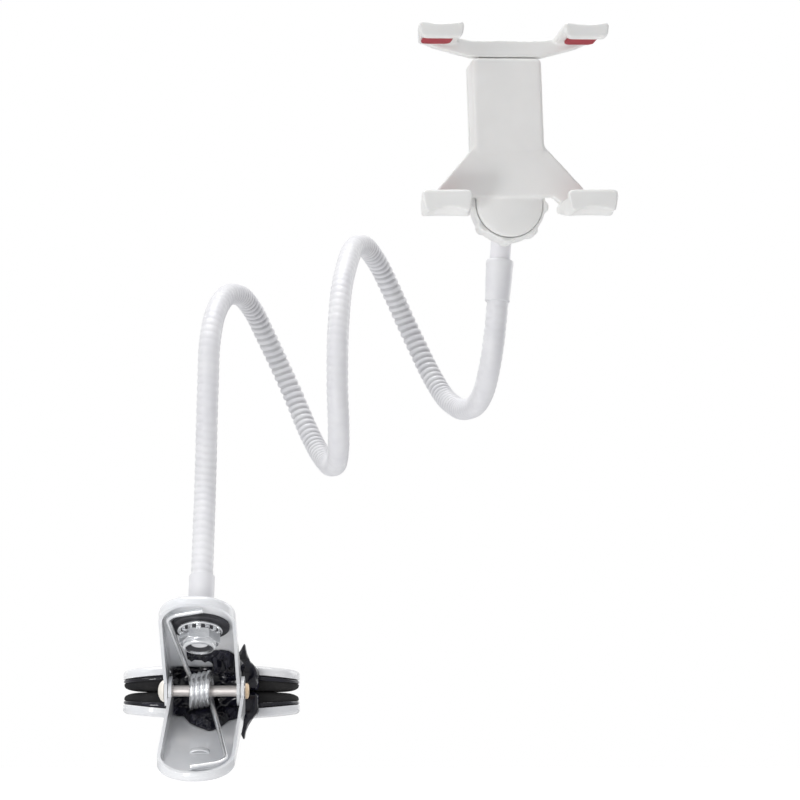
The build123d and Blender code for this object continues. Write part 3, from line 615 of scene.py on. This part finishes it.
ROUNDED = (
    ("upper_lever", "upper_sheet_lever", 0.3),
    ("rubber_washer", "soft_washer", 0.35),
    ("slide_cover", "moulded_cover", 0.5),
    ("clamp_washer", "pressed_washer", 0.15),
    ("lock_washer", "toothed_washer", 0.1),
    ("claw_pad_lower_left", "red_grip_lower_left", 0.3),
    ("claw_pad_lower_right", "red_grip_lower_right", 0.3),
    ("claw_pad_upper_left", "red_grip_upper_left", 0.3),
    ("claw_pad_upper_right", "red_grip_upper_right", 0.3),
)
for node, name, width in ROUNDED:
    rounded_piece(node, name, width * MM)


# %% Lower lever, and the arched bridge that is pressed out of its handle
BRIDGE_Y = TIP_Y + 26 * MM
BRIDGE_HALF, BRIDGE_DEEP = 3.6 * MM, 1.3 * MM
BRIDGE_RISE, BRIDGE_SKIN = 1.4 * MM, 0.6 * MM
BEAD_HALF_X, BEAD_HALF_Y, BEAD_PRESS = 3.9 * MM, 2 * MM, 0.8
inner_up = Vector((0, -sin(HANDLE_SLOPE), cos(HANDLE_SLOPE)))
inner_along = Vector((0, cos(HANDLE_SLOPE), sin(HANDLE_SLOPE)))
bridge_foot = Vector((0, BRIDGE_Y, SHEET / cos(HANDLE_SLOPE) - plate_height(BRIDGE_Y)))


def press_flat(bm):
    """Presses the measured bead nearly flat, because the bridge takes its place."""
    bm.normal_update()
    for vert in bm.verts:
        away = vert.co - bridge_foot
        if abs(away.x) < BEAD_HALF_X and abs(away.dot(inner_along)) < BEAD_HALF_Y:
            rise = away.dot(inner_up) + (0 if vert.normal.dot(inner_up) > 0 else SHEET)
            vert.co -= inner_up * max(0.0, rise) * BEAD_PRESS


rounded_piece("lower_lever", "lower_sheet_lever", 0.3 * MM, press_flat)
bridge_mesh = bmesh.new()
bmesh.ops.create_grid(bridge_mesh, x_segments=24, y_segments=2, size=1.0)
for vert in bridge_mesh.verts:
    x, y, _ = vert.co
    rise = inner_up * BRIDGE_RISE * sqrt(max(0.0, 1 - x * x))
    vert.co = bridge_foot + Vector((x * BRIDGE_HALF, 0, 0)) + inner_along * y * BRIDGE_DEEP + rise
bmesh.ops.solidify(bridge_mesh, geom=bridge_mesh.faces, thickness=BRIDGE_SKIN)
round_edges(bridge_mesh, 0.15 * MM, SHARP_TURN)
keep_piece("handle_bridge", bridge_mesh, "white_paint", "lower_clip")


# %% Nut and foot ferrule
NUT_SEAT = 5.1 * MM
NUT_DRAW = 0.22
MOUTH_FLOOR = (5.6 * MM, 6.7 * MM)
MOUTH_RADIUS = 5.05 * MM
MOUTH_DEEPER = 1.1 * MM
STUD_POINT = 0.22


def draw_up(bm):
    """Draws what hangs below the lock washer up a little, to a low nut, and deepens the nut's mouth."""
    for vert in bm.verts:
        below = -(vert.co - neck_foot).dot(base_up) - NUT_SEAT
        if below > 0:
            vert.co += base_up * below * NUT_DRAW
            reach = vert.co - neck_foot
            reach -= base_up * reach.dot(base_up)
            if MOUTH_FLOOR[0] < below < MOUTH_FLOOR[1] and reach.length < MOUTH_RADIUS:
                vert.co += base_up * MOUTH_DEEPER


def point_stud(bm):
    """Draws the threaded end up with the nut and points it a little."""
    draw_up(bm)
    for vert in bm.verts:
        reach = vert.co - neck_foot
        if reach.dot(base_up) < -NUT_SEAT:
            vert.co -= (reach - base_up * reach.dot(base_up)) * STUD_POINT


rounded_piece("base_nut", "collared_nut", 0.2 * MM, draw_up)
rounded_piece("lower_ferrule", "foot_ferrule", 0.3 * MM, point_stud)


# %% [markdown]
# ## Turned pieces
# A rivet, a sleeve and a ring nut are round, so half of their section is drawn once and spun about
# its axis, as on a lathe. The section is drawn with its small rounds, which a bevel would add later.

# %% Helpers for turned pieces
def spun(section, steps, closed=False):
    """Spins a section of radius and height in mm about Z."""
    bm = bmesh.new()
    verts = [bm.verts.new((radius * MM, 0, along * MM)) for radius, along in section]
    edges = [bm.edges.new(pair) for pair in zip(verts, verts[1:])]
    if closed:
        edges.append(bm.edges.new((verts[-1], verts[0])))
    bmesh.ops.spin(
        bm, geom=verts + edges, cent=(0, 0, 0), axis=(0, 0, 1), angle=2 * pi, steps=steps, use_merge=True
    )
    bmesh.ops.remove_doubles(bm, verts=bm.verts, dist=0.0005 * MM)
    return bm


def standing(origin, axis):
    """Matrix that stands Z up along an axis at a point."""
    return Matrix.Translation(origin) @ Vector(axis).to_track_quat("Z", "Y").to_matrix().to_4x4()


# %% Rivet: domed head on the left, hammered end on the right
RIVET_SECTION = (
    (0, -18.15), (1.3, -18.05), (2.4, -17.7), (3.3, -17.15), (3.9, -16.5), (4.15, -16), (4.15, -15.82),
    (4.05, -15.75), (2.1, -15.75), (2.1, -15.7), (2.1, 14.7), (2.1, 14.75), (2.9, 14.75), (3, 14.85),
    (3, 15.2), (2.85, 15.65), (2.3, 16.05), (1.5, 16.2), (0.6, 16.05), (0, 16),
)
rivet_mesh = spun(RIVET_SECTION, 48)
bmesh.ops.transform(rivet_mesh, matrix=standing((0, PIVOT_Y, 0), (1, 0, 0)), verts=rivet_mesh.verts)
stand_for("pivot_rivet", "turned_rivet", rivet_mesh)

# %% Painted shade: a dark ring in the mouth of the nut, and a dark ring behind the teeth of the lock washer
PAINTED_SHADE_RINGS = {
    "nut_mouth_shade": (
        (3.3, -8.5), (4.88, -8.5), (4.88, -9.75), (4.6, -9.85), (4.3, -9.6), (4.2, -9), (3.3, -8.9),
    ),
    "washer_gap_shade": ((6.2, -4.12), (7.3, -4.12), (7.3, -4.3), (6.7, -4.4), (6.62, -5.06), (6.2, -5.06)),
}
# Each ring is black rubber that stands for the shade in a recess; neither is a real part of the holder.
for name, section in PAINTED_SHADE_RINGS.items():
    shade_mesh = spun(section, 48, closed=True)
    bmesh.ops.transform(shade_mesh, matrix=standing(neck_foot, base_up), verts=shade_mesh.verts)
    keep_piece(name, shade_mesh, "black_rubber", "upper_clip")

# %% Sleeve that crimps the gooseneck onto its stem
SLEEVE_SECTION = (
    (0, -16.4), (4.1, -16.4), (4.6, -16.5), (5, -16.8), (5.2, -17.4), (5.2, -18.6), (5.08, -19.2),
    (5.02, -19.8), (5.06, -20.6), (5, -23), (4.75, -29), (4.66, -31.4), (4.72, -32), (4.6, -32.4),
    (4.3, -32.6), (0, -32.6),
)
sleeve_mesh = spun(SLEEVE_SECTION, 48)
bmesh.ops.transform(sleeve_mesh, matrix=standing(stem_elbow, stem_up), verts=sleeve_mesh.verts)
stand_for("upper_ferrule", "crimped_sleeve", sleeve_mesh)


# %% [markdown]
# ## Swivel head
# The head turns on a ball: a lobed ring nut closes on the ball from behind, and its rim stands as a
# narrow band round the smooth dome of the cradle. Its eight lugs are rounded, for fingers to turn it.
# The measures below are taken from the middle of the dome: across, up and forward.

# %% Frame of the head, and its ring nut
head_yaw = radians(8.5)
head_roll = radians(1.8)
head_forward = Vector((sin(head_yaw), -cos(head_yaw), 0))
head_right = Vector((cos(head_yaw), sin(head_yaw), 0))
head_across = head_right * cos(head_roll) + Vector((0, 0, sin(head_roll)))
head_up = head_forward.cross(head_across)
ball_middle = Vector((111.8, -67.5, 177.6)) * MM
hub_middle = ball_middle + head_forward * 9.5 * MM
head_axes = Matrix((head_across, head_up, head_forward)).transposed()
from_head = Matrix.Translation(hub_middle) @ head_axes.to_4x4()
to_head = from_head.inverted()

RING_SECTION = (
    (10.75, -0.5), (12.64, -0.5), (12.56, 0.4), (12.62, 0.7), (12.9, 0.88), (13.25, 0.85), (13.5, 0.62),
    (13.6, 0.2), (13.6, -1), (13.6, -3), (13.6, -5.5), (13.58, -7), (13.45, -7.8), (13.15, -8.4),
    (12.6, -10.5), (12, -13), (11.8, -14), (11.4, -14.6), (10.8, -14.9), (7, -14.9), (6.6, -14.75),
    (6.5, -14.4), (6.5, -13.4), (10.75, -13.4),
)
LUG_COUNT = 8
LUG_RISE = 1.2 * MM
LUG_ANGLE = radians(-5)
LUG_SPREAD = radians(7.5)
LUG_BACK, LUG_BACK_FADE = -9.5 * MM, 3 * MM
LUG_FRONT, LUG_FRONT_FADE = 1.4 * MM, 0.7 * MM
RIM_INNER = 12.7 * MM


def lug_rise(turn, along):
    """How far a lug stands out at a turn about the ring and a place along it."""
    pitch = 2 * pi / LUG_COUNT
    away = (turn - LUG_ANGLE + pitch / 2) % pitch - pitch / 2
    behind = max(0.0, (along - LUG_BACK) / LUG_BACK_FADE)
    before = max(0.0, (LUG_FRONT - along) / LUG_FRONT_FADE)
    return LUG_RISE * exp(-(away / LUG_SPREAD) ** 4) * min(1.0, behind, before)


ring_mesh = spun(RING_SECTION, 160, closed=True)
for vert in ring_mesh.verts:
    reach = hypot(vert.co.x, vert.co.y)
    if reach > RIM_INNER:
        grown = 1 + lug_rise(atan2(vert.co.y, vert.co.x), vert.co.z) / reach
        vert.co.x *= grown
        vert.co.y *= grown
bmesh.ops.transform(ring_mesh, matrix=from_head, verts=ring_mesh.verts)
stand_for("ring_nut", "lobed_ring", ring_mesh)


# %% [markdown]
# ## Cradle forks
# The forks are thick satin mouldings with no sharp edge on them. A voxel remesh turns the measured
# solid into small even faces, smoothing runs its edges over, and then the claws are pushed to their
# sculpted form: each lip is hollowed along its edge, flares upwards, and its arm narrows to the back.

# %% Forks
FORK_CELL = 0.5 * MM
CLAW_MIDDLE = 26.8
ARM_BACK, LIP_BACK = 1.2, 19.6
ARM_TAPER = 0.38
LIP_ROOT = 1.65
LIP_RANGE = (15, 19)


def remeshed(bm, cell):
    """The bmesh as an even skin of small faces."""
    mesh = bpy.data.meshes.new("remesh_source")
    bm.to_mesh(mesh)
    bm.free()
    source = bpy.data.objects.new("remesh_source", mesh)
    bpy.context.scene.collection.objects.link(source)
    skin = source.modifiers.new("skin", "REMESH")
    skin.mode = "VOXEL"
    skin.voxel_size = cell
    even = bpy.data.meshes.new_from_object(source.evaluated_get(bpy.context.evaluated_depsgraph_get()))
    fresh = bmesh.new()
    fresh.from_mesh(even)
    bpy.data.objects.remove(source)
    bpy.data.meshes.remove(mesh)
    bpy.data.meshes.remove(even)
    return fresh


def run_over(bm, times):
    """Runs the edges of an even skin over by smoothing it."""
    for _ in range(times):
        bmesh.ops.smooth_vert(
            bm, verts=bm.verts, factor=0.5, use_axis_x=True, use_axis_y=True, use_axis_z=True
        )


def share_of(value, low, high):
    """Where a value lies between two others, from 0 to 1."""
    return min(1.0, max(0.0, (value - low) / (high - low)))


def shape_claws(bm, side, grip, nose, half, flare, hollow):
    """Sculpts the two claws of a fork; side is 1 for upper claws. Sizes are in mm."""
    ends = sorted((grip - side * LIP_ROOT, grip + side * nose))
    for vert in bm.verts:
        a, u, f = (to_head @ vert.co) / MM
        hand = 1 if a > 0 else -1
        out = (a - hand * CLAW_MIDDLE) * hand
        if abs(out) < half + 0.6:
            front = share_of(f, *LIP_RANGE)
            if out > 0:
                out *= 1 - ARM_TAPER * share_of(f, LIP_BACK, ARM_BACK)
            out *= 1 - flare * share_of(u, ends[1], ends[0]) * front
            dip = max(0.0, 1 - (out / half) ** 2) * share_of((u - grip) * side, 0.5, nose)
            u -= side * hollow * dip * front
            vert.co = from_head @ (Vector((hand * (CLAW_MIDDLE + out), u, f)) * MM)


def moulded_fork(node, name, *claw_form):
    """A fork with its edges run over and its claws sculpted."""
    bm = remeshed(merged_copy(node), FORK_CELL)
    run_over(bm, 4)
    shape_claws(bm, *claw_form)
    stand_for(node, name, bm)


moulded_fork("lower_fork", "moulded_lower_fork", -1, -0.4, 7.75, 9.55, 0.16, 1.7)
moulded_fork("upper_fork", "moulded_upper_fork", 1, 58.6, 5.05, 8.55, 0.11, 0.7)

# %% Ball stud, in a cooler white than the cradle
rounded_piece("ball_stud", "moulded_ball_stud", 0.6 * MM)
cool_plastic = moulded_plastic("cool_plastic", (0.79, 0.785, 0.81), (0.82, 0.815, 0.835))
bpy.data.objects["moulded_ball_stud"].data.materials[0] = cool_plastic


# %% [markdown]
# ## Cover screws
# Four small pan-head screws hold the cover of the slide. Each head is a stack of loops that closes on
# a cross-shaped loop, which is then pushed in for the driver.

# %% Screw heads
SCREW_PLACES = ((-11.6, 21.1), (-11.6, 50.4), (11.6, 21.1), (11.6, 50.4))
SCREW_SEAT = -6.7
HEAD_RADIUS, HEAD_RISE = 1.5, 1.06
HEAD_LOOPS = ((HEAD_RADIUS, 0.4), (1.42, 0.7), (1.2, 0.95), (0.95, HEAD_RISE))
CROSS_ARM, CROSS_HALF, CROSS_DEPTH = 0.72, 0.2, 0.55
CROSS_QUARTER = (
    (CROSS_ARM, -CROSS_HALF, HEAD_RISE),
    (CROSS_ARM, CROSS_HALF, HEAD_RISE),
    (CROSS_HALF, CROSS_HALF, HEAD_RISE),
)


def screw_head(bm, x, y):
    """One pan head with a cross recess, its seat on the cover and its face to the back."""
    place = from_head @ Matrix.Translation(Vector((x, y, SCREW_SEAT)) * MM) @ Matrix.Rotation(pi, 4, "Y")
    made = bmesh.ops.create_circle(bm, segments=24, radius=HEAD_RADIUS * MM, cap_ends=False)["verts"]
    ring = list({e for v in made for e in v.link_edges})
    for radius, rise in HEAD_LOOPS:
        grown = bmesh.ops.extrude_edge_only(bm, edges=ring)["geom"]
        ring = [g for g in grown if isinstance(g, bmesh.types.BMEdge) and g.is_boundary]
        loop = {v for e in ring for v in e.verts}
        for vert in loop:
            vert.co = vert.co.to_2d().normalized().to_3d() * radius * MM + Vector((0, 0, rise * MM))
        made += loop
    corners = []
    for quarter in range(4):
        turn = Matrix.Rotation(quarter * pi / 2, 3, "Z")
        for point in CROSS_QUARTER:
            corners.append(bm.verts.new(turn @ Vector(point) * MM))
    cross = [bm.edges.new((corners[i - 1], corners[i])) for i in range(len(corners))]
    bmesh.ops.bridge_loops(bm, edges=ring + cross)
    sunk = bmesh.ops.extrude_edge_only(bm, edges=cross)["geom"]
    floor_verts = [g for g in sunk if isinstance(g, bmesh.types.BMVert)]
    bmesh.ops.translate(bm, verts=floor_verts, vec=(0, 0, -CROSS_DEPTH * MM))
    floor_edges = [g for g in sunk if isinstance(g, bmesh.types.BMEdge) and g.is_boundary]
    bmesh.ops.contextual_create(bm, geom=floor_edges)
    bmesh.ops.transform(bm, matrix=place, verts=made + corners + floor_verts)


screw_mesh = bmesh.new()
for x, y in SCREW_PLACES:
    screw_head(screw_mesh, x, y)
stand_for("cover_screws", "cross_head_screws", screw_mesh)


# %% [markdown]
# ## Torsion spring
# The spring is one length of round zinc-plated wire: a foot under the lip of each handle, a leg along
# the handle, and four turns on the rivet. It is drawn as one sweep along a guide line, so the wire
# keeps its thickness through every bend. It bends between the two levers when the clip opens.

# %% Guide line of the spring
WIRE_RADIUS = 1.0 * MM
WIRE_SIDES = 14
COIL_RADIUS = 6.0 * MM
COIL_TURNS = 4
COIL_LEFT, COIL_RIGHT = -6.2 * MM, 2.0 * MM
COIL_RISE = 1.6 * MM
COIL_STEPS = 40
LEG_SPREAD = 11.2 * MM
KNEE_Y = TIP_Y + 10 * MM
KNEE_Z = plate_height(KNEE_Y) - 3.8 * MM / cos(HANDLE_SLOPE)
KNEE_ROUND = 4.5 * MM
FOOT_SPAN = 13.3 * MM

knee_reach = PIVOT_Y - KNEE_Y
leg_slope = atan2(KNEE_Z, knee_reach) - asin(COIL_RADIUS / hypot(knee_reach, KNEE_Z))
first_turn = leg_slope
last_turn = pi - leg_slope + 2 * pi * COIL_TURNS


def coil_point(turn):
    """A point of the coil; turn 0 is on top, and it winds towards the jaws."""
    share = (turn - first_turn) / (last_turn - first_turn)
    x = COIL_LEFT + (COIL_RIGHT - COIL_LEFT) * share
    z = COIL_RADIUS * cos(turn) + COIL_RISE * (share - 0.3)
    return Vector((x, PIVOT_Y + COIL_RADIUS * sin(turn), z))


def rounded_corner(a, corner, b, radius, steps):
    """Points of an arc that rounds the corner between two straight runs."""
    first = (a - corner).normalized()
    second = (b - corner).normalized()
    half = first.angle(second) / 2
    middle = corner + (first + second).normalized() * radius / sin(half)
    start = corner + first * radius / tan(half) - middle
    axis = start.cross(corner + second * radius / tan(half) - middle).normalized()
    sweep = pi - 2 * half
    return [middle + Matrix.Rotation(sweep * i / steps, 3, axis) @ start for i in range(steps + 1)]


def leg_line(side):
    """Foot, knee and leg of one arm, from the end of the foot towards the coil."""
    knee = Vector((-side * LEG_SPREAD, KNEE_Y, side * KNEE_Z))
    drop_y = -2.5 * cos(HANDLE_SLOPE) + 1.3 * sin(HANDLE_SLOPE)
    drop_z = 2.5 * sin(HANDLE_SLOPE) + 1.3 * cos(HANDLE_SLOPE)
    foot = knee + Vector((side * FOOT_SPAN, drop_y * MM, side * drop_z * MM))
    coil_end = coil_point(first_turn if side > 0 else last_turn)
    line = [foot] + rounded_corner(foot, knee, coil_end, KNEE_ROUND, 8)
    return line + [line[-1].lerp(coil_end, i / 6) for i in range(1, 6)]


coil_sweep = last_turn - first_turn
coil_count = round(coil_sweep / (2 * pi) * COIL_STEPS)
coil_line = [coil_point(first_turn + coil_sweep * i / coil_count) for i in range(coil_count + 1)]
spring_line = leg_line(1) + coil_line + leg_line(-1)[::-1]

# %% Spring wire
spring_mesh = bmesh.new()
spring_frames = carried_frames(spring_line, (0, 0, 1))
sweep_ring(spring_mesh, spring_frames, WIRE_SIDES, lambda number, turn, out: WIRE_RADIUS)
round_edges(spring_mesh, 0.25 * MM, 60)
clip_spring = keep_piece("clip_spring", spring_mesh, "zinc_wire", None, ["torsion_spring"])
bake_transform(clip_spring, "upper_clip", "lower_clip", start=(0, PIVOT_Y, 6 * MM), end=(0, PIVOT_Y, -6 * MM))


# %% [markdown]
# ## Foam pads
# Each jaw is lined with a thick block of black foam, cut to the outline of the plate. Its top follows
# the bow of the plate, its gripping face is crowned and its edge is rounded, so the closed mouth shows
# a small gap at both ends. A ring with that outline is extruded through the levels of the block, and
# each level is then bent to the bow.

# %% Foam pads
PAD_HALF_X, PAD_HALF_Y, PAD_CORNER = 33.6 * MM, 16.6 * MM, 12.6 * MM
PAD_FACE, PAD_TOP = 0.06 * MM, 6.85 * MM
FACE_BOW, TOP_BOW = 0.5 * MM, -2.2 * MM
PAD_LEVELS = (
    (0.0, 0.02), (0.0, 0.3), (0.0, 0.6), (0.0, 0.8), (0.01, 0.87), (0.04, 0.915), (0.1, 0.95),
    (0.18, 0.975), (0.28, 0.991), (0.4, 0.998), (0.52, 1.0), (0.6, 0.999), (0.635, 0.991), (0.66, 0.985),
    (0.68, 0.992), (0.72, 1.0), (0.93, 1.0), (0.975, 0.996), (1.0, 0.985), (1.0, 0.8), (1.0, 0.3),
    (1.0, 0.02),
)
BAND_LEVELS = (
    (0.67, 0.9), (0.675, 0.985), (0.7, 1.001), (0.78, 1.006), (0.9, 1.006), (0.96, 1.0), (0.97, 0.9),
)
PAD_SIDES = 160


def outline_reach(turn, half_x, half_y, corner):
    """How far a rounded rectangle reaches from its middle in one direction."""
    along, beside = abs(cos(turn)), abs(sin(turn))
    core_x, core_y = half_x - corner, half_y - corner
    if half_x * beside <= core_y * along:
        return half_x / along
    if half_y * along <= core_x * beside:
        return half_y / beside
    lead = core_x * along + core_y * beside
    return lead + sqrt(lead * lead - core_x * core_x - core_y * core_y + corner * corner)


def pad_form(side, levels):
    """The pad's outline extruded through levels of share of height and share of reach, then bowed."""
    bm = bmesh.new()
    along_x, along_y, along_z = Matrix.Identity(3)
    frames = [(along_z * share, along_z, along_x, along_y) for share, _ in levels]

    def pad_reach(number, turn, out):
        return levels[number][1] * outline_reach(turn, PAD_HALF_X, PAD_HALF_Y, PAD_CORNER)

    sweep_ring(bm, frames, PAD_SIDES, pad_reach)
    for vert in bm.verts:
        bow = (vert.co.x / PAD_HALF_X) ** 2
        face = PAD_FACE + FACE_BOW * bow ** 3
        top = PAD_TOP + TOP_BOW * bow
        vert.co.z = side * (face + (top - face) * vert.co.z)
    return bm


def foam_pad(place, side, body):
    """One foam block, and the strip of vinyl that binds it under the rim of its plate."""
    block = pad_form(side, PAD_LEVELS)
    pad = keep_piece(place + "_foam_pad", block, "black_foam", body, [place + "_jaw_pad"])
    band = keep_piece(place + "_pad_band", pad_form(side, BAND_LEVELS), "black_vinyl", body)


foam_pad("upper", 1, "upper_clip")
foam_pad("lower", -1, "lower_clip")


# %% [markdown]
# ## Throat boots
# Behind the rivet each lever's neck is wrapped in soft shiny vinyl. It stands out as a fin beside the
# handle, and a crumpled flap of it runs forward inside the channel. The body is the measured solid,
# remeshed to small even faces, softened, creased and drawn to a point at the fin. The flap is a grid
# laid along the inside of the handle, pushed into folds and given its thickness.

# %% Boot bodies and flaps
BOOT_CELL = 0.8 * MM
FLAP_ROOT = -25.5 * MM
CREASE_SCALE, CREASE_MIDDLE, CREASE_DEPTH = 4.5 * MM, 0.6, 1.1
FIN_SMOOTH = 0.9
FLAP_CREASE, FLAP_LIFT, FLAP_SKIN = 4.2 * MM, 0.25, 0.4 * MM
CREASE_SEED = 4
noise.seed_set(CREASE_SEED)
FIN_RISE = (8 * MM, 17.5 * MM)
FIN_SIDE = (2 * MM, 8 * MM)
FIN_TIP = 14.4 * MM
FIN_TAPER = 0.6
FIN_FOOT = 12 * MM
FIN_SLOPE = (9.5 * MM, 13.6 * MM)


def crease(place, scale):
    """Height of a creased film at a place, from 0 in the folds to 1 on the ridges."""
    wander = noise.noise_vector(place / (3 * scale)) * 0.8
    return 1 - min(1.0, abs(noise.noise(place / scale + wander)) * 2.2)


def table_value(table, x):
    """Value of a table of pairs at x, with straight runs between them."""
    for (x0, v0), (x1, v1) in zip(table, table[1:]):
        if x <= x1:
            return v0 + (v1 - v0) * max(0.0, (x - x0) / (x1 - x0))
    return table[-1][1]


def boot_flap(bm, side, front, back, lump, seed):
    """A crumpled flap inside a handle. Front and back give its two edges in mm behind the origin."""
    left, right = front[0][0], front[-1][0]
    made = bmesh.ops.create_grid(bm, x_segments=60, y_segments=48, size=1.0)["verts"]
    for vert in made:
        x = left + (right - left) * (vert.co.x + 1) / 2
        share = (vert.co.y + 1) / 2
        y = -table_value(back, x) + share * (table_value(back, x) - table_value(front, x))
        rim = min(1.0, 6 * share, 6 * (1 - share), (x - left) / 1.5, (right - x) / 1.5)
        fold = crease(Vector((x * MM, y * MM, seed)), FLAP_CREASE)
        lift = FLAP_LIFT + rim * (0.3 * lump + lump * fold)
        vert.co = (x * MM, y * MM, side * (plate_height(y * MM) - SHEET / cos(HANDLE_SLOPE) - lift * MM))
    faces = list({f for v in made for f in v.link_faces})
    bmesh.ops.recalc_face_normals(bm, faces=faces)
    bmesh.ops.solidify(bm, geom=faces, thickness=FLAP_SKIN)


def throat_boot(name, side, body, node, flaps):
    """One boot: its body, cut off where the measured flap starts, softened and creased, and its flaps."""
    bm = merged_copy(node)
    cut = bmesh.ops.bisect_plane(
        bm, geom=[*bm.verts, *bm.edges, *bm.faces], dist=1e-7,
        plane_co=(0, FLAP_ROOT, 0), plane_no=(0, -1, 0), clear_outer=True,
    )["geom_cut"]
    bmesh.ops.holes_fill(bm, edges=[g for g in cut if isinstance(g, bmesh.types.BMEdge)], sides=0)
    bm = remeshed(bm, BOOT_CELL)
    run_over(bm, 5)
    bm.normal_update()
    for vert in bm.verts:
        fin = share_of(side * vert.co.z, *FIN_RISE) * share_of(vert.co.x, *FIN_SIDE)
        depth = CREASE_DEPTH - FIN_SMOOTH * fin
        vert.co += vert.normal * (crease(vert.co, CREASE_SCALE) - CREASE_MIDDLE) * depth * MM
        vert.co.x += (FIN_TIP - vert.co.x) * FIN_TAPER * fin
        rise = side * vert.co.z - FIN_FOOT
        if rise > 0:
            vert.co.z = side * (FIN_FOOT + rise * share_of(vert.co.x, *FIN_SLOPE))
    for flap in flaps:
        boot_flap(bm, side, *flap)
    return keep_piece(name, bm, "black_vinyl", body, [node])


UPPER_FLAPS = (
    (((-6.6, 43.6), (-3, 45.2), (3, 45.4), (6.4, 44)), ((-6.6, 37.5), (0, 36), (6.4, 34)), 1.0, 0.31),
    (((2.5, 40), (6, 45), (9, 44), (12, 39), (13.6, 33)), ((2.5, 33), (7, 24.5), (13.6, 24.5)), 3.4, 0.52),
    (((-12.4, 27), (-10, 30), (-6.5, 29)), ((-12.4, 24.5), (-6.5, 24.5)), 1.2, 0.86),
)
LOWER_FLAPS = (
    (
        ((-12, 27.5), (-8, 31), (-5.5, 37.5), (-3, 40.5), (2, 45), (5.5, 42.5), (8.5, 35), (12.4, 32)),
        ((-12, 24.5), (12.4, 24.5)), 2.2, 0.77,
    ),
)
throat_boot("upper_vinyl_boot", 1, "upper_clip", "upper_jaw_boot", UPPER_FLAPS)
throat_boot("lower_vinyl_boot", -1, "lower_clip", "lower_jaw_boot", LOWER_FLAPS)


# %% [markdown]
# ## Floor
# The holder hangs in the air by its clip, so the floor lies a little below it. It is pale, and it
# shows white to the camera where no shadow falls.

# %% Floor
FLOOR_DROP = 65 * MM
FLOOR_HALF = 6.0
FLOOR_GLOW = 0.66

floor_finish, floor_tree, floor_shader, _ = new_finish("pale_floor", (0.86, 0.86, 0.86), 0.8)
floor_ray = floor_tree.nodes.new("ShaderNodeLightPath")
floor_shader.inputs["Emission Color"].default_value = PURE_WHITE
floor_glow = floor_tree.nodes.new("ShaderNodeMath")
floor_glow.operation = "MULTIPLY"
floor_glow.inputs[1].default_value = FLOOR_GLOW
floor_tree.links.new(floor_ray.outputs["Is Camera Ray"], floor_glow.inputs[0])
floor_tree.links.new(floor_glow.outputs[0], floor_shader.inputs["Emission Strength"])
floor_mesh = bmesh.new()
bmesh.ops.create_grid(floor_mesh, x_segments=1, y_segments=1, size=FLOOR_HALF)
bmesh.ops.translate(floor_mesh, verts=floor_mesh.verts, vec=(0, 0, cad_low[2] - FLOOR_DROP))
floor_data = bpy.data.meshes.new("floor")
floor_mesh.to_mesh(floor_data)
floor_mesh.free()
floor_data.materials.append(floor_finish)
floor_piece = bpy.data.objects.new("floor", floor_data)
bpy.context.scene.collection.objects.link(floor_piece)
